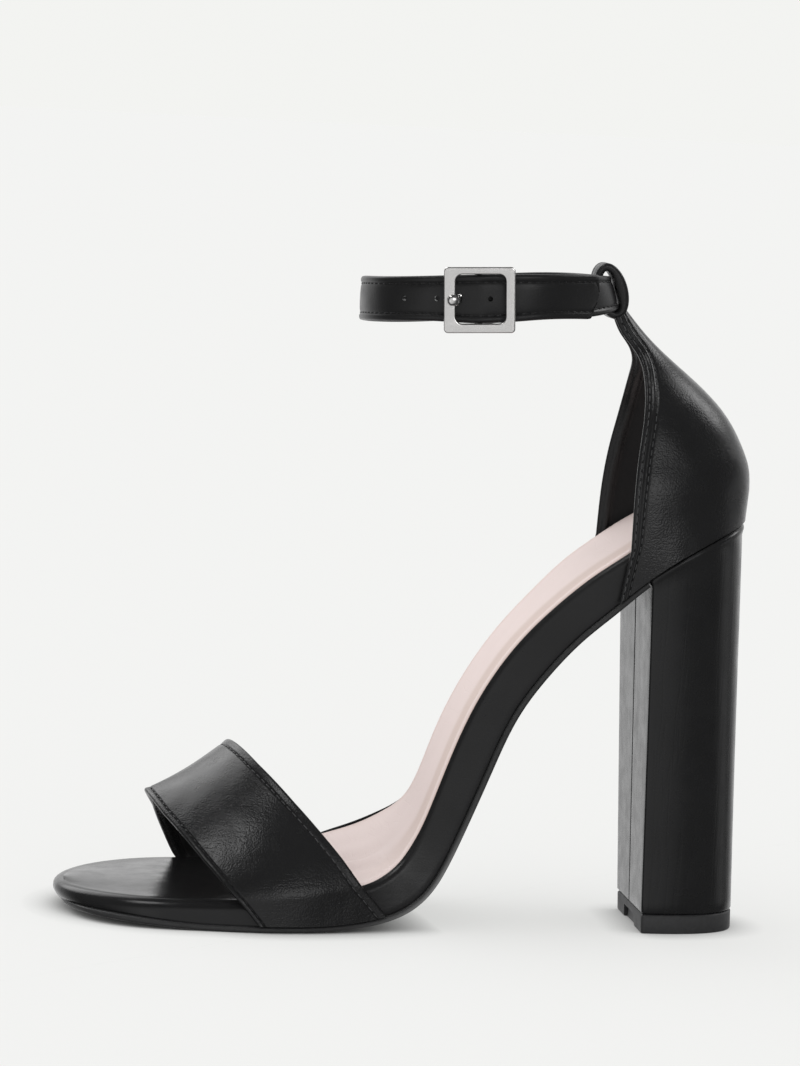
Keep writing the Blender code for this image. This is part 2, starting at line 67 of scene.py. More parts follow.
def breast_x(z):
    """The breast leans forward a little from the floor to the seat."""
    return BREAST_X_FLOOR + (BREAST_X_SEAT - BREAST_X_FLOOR) * z / SEAT_Z


low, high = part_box("heel_top_piece")
MOVED = np.array([low.x / MM - breast_x(TOP_PIECE_THICK), (low.y + high.y) / 2 / MM, 0.0])
print("packed shoe moved by", MOVED.round(2), "mm")

# %% [markdown]
# A product photograph is taken from far off with a long lens, so that the heel and the toe
# keep their true proportions. The camera looks at the outer side of the shoe from slightly
# above and is rolled a little, because the shoe stood a little askew in the frame.

# %% Camera
FRAME_HEIGHT = 1066
SENSOR = 36.0
VIEW_AZIMUTH, VIEW_ELEVATION, VIEW_ROLL = -7.453, 5.353, -2.915
VIEW_DISTANCE = 1347.7
VIEW_HEIGHT = 112.63
FOCAL_PIXELS = 4620.1

azimuth = math.radians(VIEW_AZIMUTH)
elevation = math.radians(VIEW_ELEVATION)
back = Vector((math.sin(azimuth) * math.cos(elevation),
               -math.cos(azimuth) * math.cos(elevation), math.sin(elevation)))
lens = bpy.data.cameras.new("camera")
lens.sensor_width = SENSOR
lens.lens = FOCAL_PIXELS * SENSOR / FRAME_HEIGHT
lens.clip_start = 0.05
camera = bpy.data.objects.new("camera", lens)
bpy.context.scene.collection.objects.link(camera)
looked_at = Vector((MOVED[0], MOVED[1], VIEW_HEIGHT)) * MM
roll = Matrix.Rotation(math.radians(-VIEW_ROLL), 3, "Z")
turn = (-back).to_track_quat("-Z", "Y").to_matrix() @ roll
camera.matrix_world = Matrix.LocRotScale(looked_at + back * VIEW_DISTANCE * MM, turn, None)
bpy.context.scene.camera = camera
print("lens", round(lens.lens, 1), "mm at", round(VIEW_DISTANCE / 1000, 2), "m")

# %% [markdown]
# Shader graphs are quicker to read when one line makes a node, sets it and plugs it in.
# These helpers take plain values and other nodes' outputs alike.

# %% One-line shader nodes
def plug(tree, socket, value):
    """Link an input to another node's output, or set its value."""
    if isinstance(value, bpy.types.NodeSocket):
        tree.links.new(value, socket)
    else:
        socket.default_value = value


def put(tree, kind, plugs=None, **settings):
    """Add a node; plugs gives its inputs as values or as outputs to link."""
    node = tree.nodes.new(kind)
    for key, value in settings.items():
        setattr(node, key, value)
    for key, value in (plugs or {}).items():
        plug(tree, node.inputs[key], value)
    return node


print("node helpers:", plug.__name__, "and", put.__name__)

# %% [markdown]
# Black leather shows its shape only by what it mirrors, so the light is a studio of soft
# boxes: a white wall behind the shoe, two windows above it, a box over the toes, strips beside
# the heel, and a lamp and cards on the camera's side. Each row gives how far a box is turned
# from straight behind the shoe and how high it is, the angles from its middle at which its
# glow ends and is full, and its strength. Lamps could do it, but they would leave bright pools
# on the floor, so the boxes are soft patches in the world's own shader.

# %% Soft boxes
SOFT_BOXES = {
    "wall behind": (-2.0, -4.0, 70.0, 25.0, 0.96),
    "panel behind the heel": (60.0, 8.0, 18.0, 6.0, 0.5),
    "window behind the toe": (-35.0, 43.0, 26.0, 12.0, 2.7),
    "box over the toes": (-125.0, 60.0, 13.0, 5.0, 5.6),
    "window behind the heel": (67.0, 36.0, 18.0, 7.0, 4.3),
    "strip beside the heel": (84.0, -6.0, 16.0, 6.0, 0.5),
    "lamp by the camera": (160.0, 14.0, 14.0, 5.0, 2.8),
    "card under the camera": (-168.0, -10.0, 46.0, 20.0, 0.6),
    "card before the toe": (-132.0, -10.0, 28.0, 8.0, 0.3),
}
DARK_STUDIO = 0.05

world = bpy.data.worlds.new("studio")
bpy.context.scene.world = world
world.use_nodes = True
studio = world.node_tree
studio.nodes.clear()
direction = put(studio, "ShaderNodeTexCoord").outputs["Generated"]
glow = None
for name, (around, above, edge, core, strength) in SOFT_BOXES.items():
    around, above = math.radians(around), math.radians(above)
    aim = (math.sin(around) * math.cos(above), math.cos(around) * math.cos(above), math.sin(above))
    facing = put(studio, "ShaderNodeVectorMath", {0: direction, 1: aim}, operation="DOT_PRODUCT")
    patch = put(studio, "ShaderNodeMapRange",
                {"Value": facing.outputs["Value"], "From Min": math.cos(math.radians(edge)),
                 "From Max": math.cos(math.radians(core)), "To Min": 0.0, "To Max": strength},
                interpolation_type="SMOOTHSTEP")
    start = DARK_STUDIO if glow is None else glow
    glow = put(studio, "ShaderNodeMath", {0: patch.outputs["Result"], 1: start}).outputs["Value"]
    print("soft box:", name, "strength", strength)

# %% [markdown]
# Only the gloss sees the soft boxes. The floor and the matt sock are lit by a plain white sky,
# a little brighter above the toe, and the camera sees an even pale backdrop. The Light Path
# node tells which kind of ray is asking.

# %% Sky and backdrop
PALE = (0.896, 0.900, 0.880, 1.0)
EVEN_LIGHT = 1.05
SKY_AIM = (-0.45, 0.2, 0.87)
SKY_LEAST, SKY_MOST = 0.72, 1.32

rays = put(studio, "ShaderNodeLightPath")
gloss_light = put(studio, "ShaderNodeBackground", {"Color": glow})
sky = put(studio, "ShaderNodeVectorMath", {0: direction, 1: SKY_AIM}, operation="DOT_PRODUCT")
sky_share = put(studio, "ShaderNodeMapRange",
                {"Value": sky.outputs["Value"], "From Min": -1.0, "From Max": 1.0,
                 "To Min": SKY_LEAST, "To Max": SKY_MOST})
even_light = put(studio, "ShaderNodeBackground",
                 {"Color": sky_share.outputs["Result"], "Strength": EVEN_LIGHT})
backdrop = put(studio, "ShaderNodeBackground", {"Color": PALE})
lit = put(studio, "ShaderNodeMixShader",
          {0: rays.outputs["Is Glossy Ray"], 1: even_light.outputs[0], 2: gloss_light.outputs[0]})
seen = put(studio, "ShaderNodeMixShader",
           {0: rays.outputs["Is Camera Ray"], 1: lit.outputs[0], 2: backdrop.outputs[0]})
put(studio, "ShaderNodeOutputWorld", {"Surface": seen.outputs[0]})
bpy.context.scene.view_settings.view_transform = "Standard"
print("studio has", len(studio.nodes), "nodes")

# %% [markdown]
# The floor is a plain pale sheet with the background's own tone. Part of that tone is its own
# glow, which fades where the shoe comes within a centimetre, so that a short soft shade
# shows where sole and heel meet the floor. The gloss doesn't see the floor, because a white
# floor would lift the blacks of the leather from below.

# %% Pale floor
FLOOR_HALF = 40.0
FLOOR_GREY = (0.27, 0.27, 0.27, 1.0)
FLOOR_GLOW = 0.625
CONTACT_REACH = 11.0


def new_material(name):
    """Empty material with its node tree and its shader."""
    material = bpy.data.materials.new(name)
    material.use_nodes = True
    return material, material.node_tree, material.node_tree.nodes["Principled BSDF"]


def maths(tree, operation, first, second=0.0):
    return put(tree, "ShaderNodeMath", {0: first, 1: second}, operation=operation).outputs["Value"]


floor_mesh = bpy.data.meshes.new("floor")
quarters = ((-1, -1), (1, -1), (1, 1), (-1, 1))
floor_mesh.from_pydata([(x * FLOOR_HALF, y * FLOOR_HALF, 0) for x, y in quarters], [], [(0, 1, 2, 3)])
floor = bpy.data.objects.new("floor", floor_mesh)
bpy.context.scene.collection.objects.link(floor)
floor_paint, floor_tree, floor_shader = new_material("pale floor")
near = put(floor_tree, "ShaderNodeAmbientOcclusion", {"Distance": CONTACT_REACH * MM}, samples=8)
floor_finish = {
    "Base Color": FLOOR_GREY,
    "Emission Color": PALE,
    "Emission Strength": maths(floor_tree, "MULTIPLY", near.outputs["AO"], FLOOR_GLOW),
    "Roughness": 1.0,
    "Specular IOR Level": 0.0,
}
for name, value in floor_finish.items():
    plug(floor_tree, floor_shader.inputs[name], value)
floor_mesh.materials.append(floor_paint)
floor.visible_glossy = False
print("floor", 2 * FLOOR_HALF, "m across")

# %% [markdown]
# Leather grain is a carpet of tiny rounded cells with fine folds between them. An image
# could be used, but a Voronoi texture with its cells pushed about by noise gives the same
# look at any distance. Every finish of the shoe uses it, so it is a node group: cell size goes
# in, and the grain's height, a slow change of tone, a change of gloss and broad dents come out.

# %% Leather grain group
def new_group(name, inputs, outputs):
    """Empty shader group with its sockets, and its two end nodes."""
    tree = bpy.data.node_groups.new(name, "ShaderNodeTree")
    for title, kind, value in inputs:
        socket = tree.interface.new_socket(title, in_out="INPUT", socket_type=kind)
        socket.default_value = value
    for title, kind in outputs:
        tree.interface.new_socket(title, in_out="OUTPUT", socket_type=kind)
    return tree, tree.nodes.new("NodeGroupInput"), tree.nodes.new("NodeGroupOutput")


FLOAT, VECTOR = "NodeSocketFloat", "NodeSocketVector"
CELL_PUSH = 0.0009
PORE_SHARE = 0.3
GRAIN, grain_in, grain_out = new_group(
    "Leather grain", [("Cells per Metre", FLOAT, 1100.0), ("Tone per Metre", FLOAT, 45.0)],
    [("Height", FLOAT), ("Tone", FLOAT), ("Gloss", FLOAT), ("Dents", FLOAT)])
here = put(GRAIN, "ShaderNodeTexCoord").outputs["Object"]
push = put(GRAIN, "ShaderNodeTexNoise", {"Vector": here, "Scale": 700.0, "Detail": 2.0})
shove = put(GRAIN, "ShaderNodeVectorMath", {0: push.outputs["Color"], 1: (CELL_PUSH,) * 3},
            operation="MULTIPLY")
loose = put(GRAIN, "ShaderNodeVectorMath", {0: here, 1: shove.outputs["Vector"]}, operation="ADD")
cells = put(GRAIN, "ShaderNodeTexVoronoi",
            {"Vector": loose.outputs["Vector"], "Scale": grain_in.outputs["Cells per Metre"],
             "Smoothness": 0.6}, feature="SMOOTH_F1")
pores = put(GRAIN, "ShaderNodeTexNoise", {"Vector": here, "Scale": 3200.0, "Detail": 3.0})
dome = maths(GRAIN, "SUBTRACT", 1.0, cells.outputs["Distance"])
rough_top = maths(GRAIN, "MULTIPLY", pores.outputs["Fac"], PORE_SHARE)
GRAIN.links.new(maths(GRAIN, "ADD", dome, rough_top), grain_out.inputs["Height"])
slow = put(GRAIN, "ShaderNodeTexNoise",
           {"Vector": here, "Scale": grain_in.outputs["Tone per Metre"], "Detail": 4.0})
GRAIN.links.new(slow.outputs["Fac"], grain_out.inputs["Tone"])
patchy = put(GRAIN, "ShaderNodeTexNoise",
             {"Vector": here, "Scale": 160.0, "Detail": 5.0, "Roughness": 0.6})
GRAIN.links.new(patchy.outputs["Fac"], grain_out.inputs["Gloss"])
dents = put(GRAIN, "ShaderNodeTexNoise", {"Vector": here, "Scale": 75.0, "Detail": 1.0})
GRAIN.links.new(dents.outputs["Fac"], grain_out.inputs["Dents"])
print("group", GRAIN.name, "has", len(GRAIN.nodes), "nodes")

# %% [markdown]
# Where leather is pulled over the last or bends with the foot it keeps fine creases, and a
# polished metal keeps hairlines from the wheel. Both are thin lines along one direction.
# Noise stretched along that direction and cut close to its middle value gives such lines.

# %% Fine lines group
LINES, lines_in, lines_out = new_group(
    "Fine lines", [("Stretch", VECTOR, (60.0, 60.0, 900.0)), ("Width", FLOAT, 0.05)],
    [("Height", FLOAT)])
here = put(LINES, "ShaderNodeTexCoord").outputs["Object"]
drawn = put(LINES, "ShaderNodeVectorMath", {0: here, 1: lines_in.outputs["Stretch"]},
            operation="MULTIPLY")
wisps = put(LINES, "ShaderNodeTexNoise",
            {"Vector": drawn.outputs["Vector"], "Scale": 1.0, "Detail": 3.0})
off_middle = maths(LINES, "ABSOLUTE", maths(LINES, "SUBTRACT", wisps.outputs["Fac"], 0.5))
furrow = put(LINES, "ShaderNodeMapRange",
             {"Value": off_middle, "From Max": lines_in.outputs["Width"]},
             interpolation_type="SMOOTHSTEP")
LINES.links.new(furrow.outputs["Result"], lines_out.inputs["Height"])
print("group", LINES.name, "has", len(LINES.nodes), "nodes")

# %% [markdown]
# The black leathers of this shoe are one family: dyed calf with a thin satin finish. They
# differ in how tight the grain is, how much they shine and which way they crease. One
# function lays them out, and the shader itself stays in each material. The specular level
# is set low, because dyed and waxed leather mirrors less than bare plastic.

# %% Black leathers
def grouped(tree, group, plugs):
    """Outputs of a group placed in a material with its own values."""
    return put(tree, "ShaderNodeGroup", plugs, node_tree=group).outputs


def scaled(shade, share):
    return tuple(share * c for c in shade)


def blended(tree, share, first, second):
    """Colour between two tones, each a colour or another node's output."""
    tones = [t if isinstance(t, bpy.types.NodeSocket) else (*t, 1.0) for t in (first, second)]
    plugs = {0: share, 6: tones[0], 7: tones[1]}
    return put(tree, "ShaderNodeMix", plugs, data_type="RGBA").outputs[2]


def spread(tree, value, least, most, start=0.3, end=0.7):
    """Stretch a texture's middle range over least to most."""
    plugs = {"Value": value, "From Min": start, "From Max": end, "To Min": least, "To Max": most}
    return put(tree, "ShaderNodeMapRange", plugs).outputs["Result"]


def dress(tree, shader, finish, reliefs):
    """Plug a finish into its shader; reliefs lists (height, millimetres), the broadest first."""
    below = {}
    for height, depth in reliefs:
        bump = put(tree, "ShaderNodeBump", {"Height": height, "Distance": depth * MM, **below})
        below = {"Normal": bump.outputs["Normal"]}
    for name, value in {**finish, **below}.items():
        plug(tree, shader.inputs[name], value)


def black_leather(name, shade, roughness, cells, depth, stretch, crease, dent, specular=0.3):
    """Dyed leather: depth, crease and dent are the heights of its relief in millimetres."""
    material, tree, shader = new_material(name)
    grain = grouped(tree, GRAIN, {"Cells per Metre": cells})
    lines = grouped(tree, LINES, {"Stretch": stretch})
    finish = {
        "Base Color": blended(tree, grain["Tone"], scaled(shade, 0.75), scaled(shade, 1.3)),
        "Roughness": spread(tree, grain["Gloss"], roughness - 0.05, roughness + 0.06),
        "Specular IOR Level": specular,
    }
    dress(tree, shader, finish,
          [(grain["Dents"], dent), (lines["Height"], crease), (grain["Height"], depth)])
    return material


INK = (0.0108, 0.0108, 0.0112)
UPPER = black_leather("upper leather", INK, 0.24, 2000.0, 0.05, (40.0, 60.0, 520.0), 0.010, 0.5)
WRAP = black_leather("platform wrap", INK, 0.32, 1900.0, 0.014, (30.0, 30.0, 260.0), 0.006, 0.2)
TOE = black_leather("toe cover leather", INK, 0.20, 2100.0, 0.006, (22.0, 520.0, 30.0), 0.008, 0.15)
STRAP_LEATHER = black_leather("strap leather", INK, 0.34, 1900.0, 0.018,
                              (300.0, 300.0, 40.0), 0.006, 0.2)
HEEL_LEATHER = black_leather("heel cover leather", INK, 0.26, 2300.0, 0.005,
                             (260.0, 210.0, 9.0), 0.012, 0.12)
LINING = black_leather("lining leather", (0.010, 0.010, 0.0105), 0.55, 1700.0, 0.015,
                       (60.0, 60.0, 300.0), 0.006, 0.3, 0.25)
print("black leathers:", len(bpy.data.materials) - 1)

# %% [markdown]
# The sock is the nude pink leather that the foot stands on. It is matt, with a tight grain,
# and its edge is a little browner where the leather is turned down over the padding. The same
# brown is painted shade inside both rims, and most of all in a band along the outer side of
# the arch. That share of brown is kept on the mesh's points, so the colour follows the real edge.

# %% Pink sock leather
EDGE_AND_PAINTED_LIGHT_ATTRIBUTE = "edge_and_painted_light"
SOCK_PINK = (0.725, 0.615, 0.59)
# Brown of the turned edge, also used for painted shade on the sock.
SOCK_EDGE_AND_PAINTED_SHADE_BEIGE = (0.54, 0.42, 0.37)


def painted_light_and_edge_mix(tree):
    """How far each point takes on its second tone: a browner edge and painted shade on the sock, a
    painted highlight on the outsole.
    """
    return put(tree, "ShaderNodeAttribute", attribute_name=EDGE_AND_PAINTED_LIGHT_ATTRIBUTE).outputs["Fac"]


SOCK, tree, shader = new_material("pink sock leather")
grain = grouped(tree, GRAIN, {"Cells per Metre": 1900.0, "Tone per Metre": 60.0})
folds = grouped(tree, LINES, {"Stretch": (220.0, 35.0, 90.0), "Width": 0.03})
pinks = blended(tree, grain["Tone"], scaled(SOCK_PINK, 0.955), SOCK_PINK)
finish = {
    "Base Color": blended(tree, painted_light_and_edge_mix(tree), pinks, SOCK_EDGE_AND_PAINTED_SHADE_BEIGE),
    "Roughness": spread(tree, grain["Gloss"], 0.58, 0.7),
    "Specular IOR Level": 0.25,
}
dress(tree, shader, finish, [(folds["Height"], 0.02), (grain["Height"], 0.012)])
print("sock colour", SOCK_PINK)

# %% [markdown]
# Sole rubber is cut from a rolled sheet. It is matt and dark grey, with a fine speckle of
# filler. Where the sole bends, its edge is painted a paler grey as a painted highlight, and the
# share of that is kept on the mesh's points too.

# %% Sole and top piece rubber
# Paler grey, used for a painted highlight on the outsole's edge.
PAINTED_HIGHLIGHT_GREY = (0.19, 0.19, 0.19)


def sole_rubber(name, shade, roughness):
    """Speckled rubber, painted paler where a highlight falls on its edge."""
    material, tree, shader = new_material(name)
    grain = grouped(tree, GRAIN, {"Cells per Metre": 3000.0, "Tone per Metre": 900.0})
    clean = blended(tree, grain["Tone"], scaled(shade, 0.7), scaled(shade, 1.35))
    finish = {
        "Base Color": blended(tree, painted_light_and_edge_mix(tree), clean, PAINTED_HIGHLIGHT_GREY),
        "Roughness": spread(tree, grain["Gloss"], roughness - 0.06, roughness + 0.06),
        "Specular IOR Level": 0.4,
    }
    dress(tree, shader, finish, [(grain["Height"], 0.012)])
    return material


OUTSOLE_RUBBER = sole_rubber("outsole rubber", (0.021, 0.021, 0.0215), 0.5)
LIFT_RUBBER = sole_rubber("top piece rubber", (0.024, 0.024, 0.025), 0.58)
print("rubbers:", OUTSOLE_RUBBER.name, "and", LIFT_RUBBER.name)

# %% [markdown]
# The buckle is cast zinc, polished and plated to a silver tone. Polishing leaves hairlines,
# and handling dulls it in patches, so the roughness isn't even.

# %% Buckle metal
METAL, tree, shader = new_material("polished buckle metal")
grain = grouped(tree, GRAIN, {"Cells per Metre": 900.0, "Tone per Metre": 240.0})
hairlines = grouped(tree, LINES, {"Stretch": (120.0, 900.0, 2600.0), "Width": 0.08})
finish = {
    "Base Color": blended(tree, grain["Tone"], (0.74, 0.73, 0.715), (0.84, 0.83, 0.82)),
    "Roughness": spread(tree, grain["Gloss"], 0.16, 0.26),
    "Metallic": 1.0,
}
dress(tree, shader, finish, [(hairlines["Height"], 0.0015)])
print("buckle finish:", METAL.name)

# %% [markdown]
# The sewing thread is waxed and black, and a little paler than the leather because its twist
# scatters the light. On the strap and along the band's front edge the thread is as dark as the
# leather, so those seams use the leather's own finish.

# %% Sewing thread
THREAD, tree, shader = new_material("black sewing thread")
twist = grouped(tree, GRAIN, {"Cells per Metre": 2600.0})
finish = {
    "Base Color": blended(tree, twist["Tone"], (0.026, 0.026, 0.027), (0.055, 0.055, 0.057)),
    "Roughness": 0.5,
}
dress(tree, shader, finish, [(twist["Height"], 0.06)])
print("materials in all:", len(bpy.data.materials))

# %% [markdown]
# A shoemaker draws a shoe as a few sections and lets smooth lines run through them. The
# same is done here: a natural cubic spline goes through each column of a small table, read
# by the distance along the rows.

# %% Smooth tables
def spline(knots, values):
    """Natural cubic through values at knots, as a function of one place or of many."""
    step = np.diff(knots)
    slope = np.diff(values) / step
    count = len(knots)
    system = np.eye(count)
    right = np.zeros(count)
    for i in range(1, count - 1):
        system[i, i - 1:i + 2] = step[i - 1], 2 * (step[i - 1] + step[i]), step[i]
        right[i] = 6 * (slope[i] - slope[i - 1])
    bend = np.linalg.solve(system, right)

    def value(at):
        i = np.clip(np.searchsorted(knots, at) - 1, 0, count - 2)
        a = at - knots[i]
        lift = slope[i] - step[i] * (2 * bend[i] + bend[i + 1]) / 6
        return values[i] + a * (lift + a * (bend[i] / 2 + a * (bend[i + 1] - bend[i]) / (6 * step[i])))

    return value


class Table:
    """Rows with named columns, read smoothly between rows by the distance along them."""

    def __init__(self, columns, rows, place):
        self.names = list(rows)
        data = np.array([rows[name] for name in self.names], float)
        picks = [columns.index(column) for column in place]
        runs = np.linalg.norm(np.diff(data[:, picks], axis=0), axis=1)
        self.knots = np.concatenate([[0.0], np.cumsum(runs)])
        self.curves = {c: spline(self.knots, data[:, i]) for i, c in enumerate(columns)}

    def knot(self, name):
        return self.knots[self.names.index(name)]

    def __call__(self, column, at):
        return self.curves[column](at)


print("tables ready")

# %% [markdown]
# The sole's table has one row for each section from toe to heel: the tread line and the
# insole's top edge in the middle of the shoe, the half-width to each side, and how far each
# edge is turned back with the width. A tread height below the floor is cut off there, which
# makes the flat spot that the shoe stands on.

# %% Sole sections
SOLE = Table(
    ("bottom_x", "bottom_z", "top_x", "top_z", "lateral", "medial", "lateral_turn", "medial_turn"),
    {
        "toe tip": (-95.6, 2.0, -98.6, 8.0, 35.8, 42.0, 0.0, 0.0),
        "toe": (-80.0, 1.6, -80.6, 8.4, 35.8, 42.0, 0.0, 0.0),
        "vamp front": (-58.0, 0.2, -58.0, 8.8, 35.8, 42.0, 0.0, 0.0),
        "ball": (-40.0, -0.6, -40.0, 9.6, 37.0, 42.6, 0.02, 0.04),
        "tread end": (-22.0, 0.2, -23.5, 12.1, 34.6, 42.0, 0.07, 0.16),
        "ball rear": (-7.7, 2.4, -12.9, 14.1, 31.0, 40.5, 0.12, 0.2),
        "bend": (2.6, 6.5, -6.2, 16.9, 29.0, 38.5, 0.11, 0.18),
        "bend rear": (9.5, 12.2, -0.8, 20.9, 27.5, 35.0, 0.08, 0.12),
        "arch foot": (14.6, 19.0, 3.8, 26.3, 26.5, 29.0, 0.04, 0.06),
        "arch low": (20.3, 29.7, 8.3, 34.1, 26.0, 20.8, 0.0, 0.0),
        "arch": (27.1, 46.8, 14.5, 51.5, 25.6, 17.6, 0.0, 0.0),
        "arch high": (34.4, 63.6, 22.6, 70.0, 25.5, 16.6, 0.0, 0.0),
        "shank": (42.7, 75.7, 32.2, 84.6, 25.7, 17.0, 0.0, 0.0),
        "shank rear": (52.0, 86.2, 43.1, 96.4, 26.3, 20.0, 0.0, 0.0),
        "seat front": (60.9, 94.2, 52.6, 104.8, 27.0, 24.8, 0.0, 0.0),
        "breast": (70.6, 102.7, 63.4, 112.6, 27.4, 27.4, 0.0, 0.0),
        "seat": (84.0, 111.2, 79.2, 122.6, 27.4, 27.4, 0.0, 0.0),
        "heel back": (99.9, 118.6, 100.4, 129.2, 27.4, 27.4, 0.0, 0.0),
    },
    ("bottom_x", "bottom_z"))
TOE_ROUNDNESS = 2.0
HEEL_CAP_ROUNDNESS = 2.2
TOE_CAP = SOLE.knot("vamp front")
HEEL_CAP = SOLE.knot("breast")
HEEL_END = SOLE.knots[-1]
TREAD_BLEND = 0.3
FINE_PLACES = 1500
print("sole is", round(HEEL_END, 1), "mm along its tread")

# %% [markdown]
# Every layer of the sole is drawn from one function: a place along the tread, a side from
# -1 at the little toe to +1 at the big toe, a level above the tread and an inset from the
# edge. Inside the round toe and heel the width shrinks, and an inset pulls the place in too,
# so that a rounded edge goes evenly round the tip.

# %% Points on the sole
def rib(at):
    """Tread point, direction up through the layers, and height of the sole at each place."""
    tread = SOLE("bottom_z", at)
    bottom = np.stack([SOLE("bottom_x", at), (tread + np.hypot(tread, TREAD_BLEND)) / 2], -1)
    top = np.stack([SOLE("top_x", at), SOLE("top_z", at)], -1)
    height = np.linalg.norm(top - bottom, axis=-1)
    return bottom, (top - bottom) / height[..., None], height


def cap_factor(at, inset, toe_round):
    """Share of the full width that is left inside the round toe and heel."""
    toe = np.clip((TOE_CAP - at) / (TOE_CAP - inset), 0.0, 1.0)
    heel = np.clip((at - HEEL_CAP) / (HEEL_END - inset - HEEL_CAP), 0.0, 1.0)
    toe_width = (1 - toe ** toe_round) ** (1 / toe_round)
    return toe_width * (1 - heel ** HEEL_CAP_ROUNDNESS) ** (1 / HEEL_CAP_ROUNDNESS)


def sole_points(at, side, level, inset, toe_round=TOE_ROUNDNESS):
    """Points of the sole at places along it, sides, levels and insets."""
    at, side, level, inset = np.broadcast_arrays(at, side, level, inset)
    bottom, up, _ = rib(at)
    half = np.where(side < 0, SOLE("lateral", at), SOLE("medial", at)) - inset
    turned = np.where(side < 0, SOLE("lateral_turn", at), SOLE("medial_turn", at))
    y = side * half * cap_factor(at, inset, toe_round)
    spot = bottom + up * level[..., None]
    return np.stack([spot[..., 0] - turned * y, y, spot[..., 1]], -1)


def pulled(places, inset):
    """Places moved in from the tips as an edge with that inset moves in."""
    toe = TOE_CAP - (TOE_CAP - places) * (TOE_CAP - inset) / TOE_CAP
    heel = HEEL_CAP + (places - HEEL_CAP) * (HEEL_END - inset - HEEL_CAP) / (HEEL_END - HEEL_CAP)
    return np.where(places < TOE_CAP, toe, np.where(places > HEEL_CAP, heel, places))


def place_at_x(x, side, level, inset=0.0):
    """Place along the sole at which a line on its side passes x; level turns the sole's
    height into the line's."""
    places = np.linspace(0.0, HEEL_END, FINE_PLACES)
    return np.interp(x, sole_points(places, side, level(rib(places)[2]), inset)[:, 0], places)


def on_tread(height):
    """Level of the tread line."""
    return 0.0 * height


def on_top(height):
    """Level of the insole's top edge."""
    return height


print("toe tip at x", sole_points(0.0, 0.0, 0.0, 0.0)[0].round(1))

# %% [markdown]
# Nearly every piece is a row of rings of points, with quads between them. One helper makes
# the mesh and closes its ends, and one merges points that meet at a tip. The others give the
# piece its finishes, hang it under the shoe's root and hide the imported nodes that it replaces.

# %% From rings of points to a piece
TIP_MERGE = 0.002
SHARP_DEG = 48


def grid_faces(rows, columns, closed_rows):
    """Quads between the points of a grid whose columns run round."""
    here = np.arange(rows * columns).reshape(rows, columns)
    ahead = np.roll(here, -1, axis=0)
    quads = np.stack([here, np.roll(here, -1, axis=1), np.roll(ahead, -1, axis=1), ahead], -1)
    return (quads if closed_rows else quads[:-1]).reshape(-1, 4)


def closed_mesh(name, rings, closed_rows=False):
    """Mesh through rings of points; the ends of an open row of rings are filled."""
    rings = np.array(rings)
    rows, columns = rings.shape[:2]
    faces = grid_faces(rows, columns, closed_rows).tolist()
    if not closed_rows:
        faces.append(list(range(columns))[::-1])
        faces.append(list(range((rows - 1) * columns, rows * columns)))
    mesh = bpy.data.meshes.new(name)
    mesh.from_pydata(((rings.reshape(-1, 3) + MOVED) * MM).tolist(), [], faces)
    return mesh


def mended(mesh):
    """Merge points that meet at a tip and turn every face outward."""
    bm = bmesh.new()
    bm.from_mesh(mesh)
    bmesh.ops.remove_doubles(bm, verts=bm.verts, dist=TIP_MERGE * MM)
    bmesh.ops.recalc_face_normals(bm, faces=bm.faces)
    bm.to_mesh(mesh)
    bm.free()
    return mesh


def shoe_piece(name, rings, finishes, nodes=(), closed_rows=False, column_finish=None,
               painted_light_and_edge_per_point=None):
    """Closed skin over rings of points. Where given, column_finish picks the finish of each column,
    and the last argument gives each point's share of a second tone: a browner edge and painted
    shade on the sock, a painted highlight on the outsole."""
    mesh = closed_mesh(name, rings, closed_rows)
    for finish in finishes:
        mesh.materials.append(finish)
    if column_finish is not None:
        mesh.polygons.foreach_set("material_index", np.resize(column_finish, len(mesh.polygons)))
    if painted_light_and_edge_per_point is not None:
        share = mesh.attributes.new(EDGE_AND_PAINTED_LIGHT_ATTRIBUTE, "FLOAT", "POINT")
        share.data.foreach_set("value", painted_light_and_edge_per_point.astype(np.float32).ravel())
    mended(mesh).shade_smooth()
    mesh.set_sharp_from_angle(angle=math.radians(SHARP_DEG))
    print(name, "has", len(mesh.polygons), "faces")
    return joined_to_shoe(bpy.data.objects.new(name, mesh), nodes)


def joined_to_shoe(piece, nodes=()):
    """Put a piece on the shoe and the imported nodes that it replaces."""
    bpy.context.scene.collection.objects.link(piece)
    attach(piece, "root")
    if nodes:
        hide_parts(*nodes)
    return piece


print("pieces are sharp above", SHARP_DEG, "degrees")

# %% [markdown]
# A layer of the sole is a row of rings across it. Each ring goes up the outer side, over
# the top and down the inner side, and the side's own profile says how its edges are turned.

# %% Layers of the sole
CAP_ANGLES = np.radians(np.linspace(0.0, 90.0, 37)[1:])
PLACE_STEP = 1.6
END_CLEAR = 0.2
UNDER_SIDES = (0.6, 0.2, -0.2, -0.6)


def sole_places(start=0.0, stop=HEEL_END):
    """Places along the sole, close together round the toe and the heel."""
    toe = TOE_CAP - TOE_CAP * np.sin(CAP_ANGLES[::-1])
    heel = HEEL_CAP + (HEEL_END - HEEL_CAP) * np.sin(CAP_ANGLES)
    middle = np.linspace(TOE_CAP, HEEL_CAP, round((HEEL_CAP - TOE_CAP) / PLACE_STEP))
    places = np.concatenate([toe, middle, heel])
    inside = places[(places > start + END_CLEAR) & (places < stop - END_CLEAR)]
    return np.concatenate([[start], inside, [stop]])


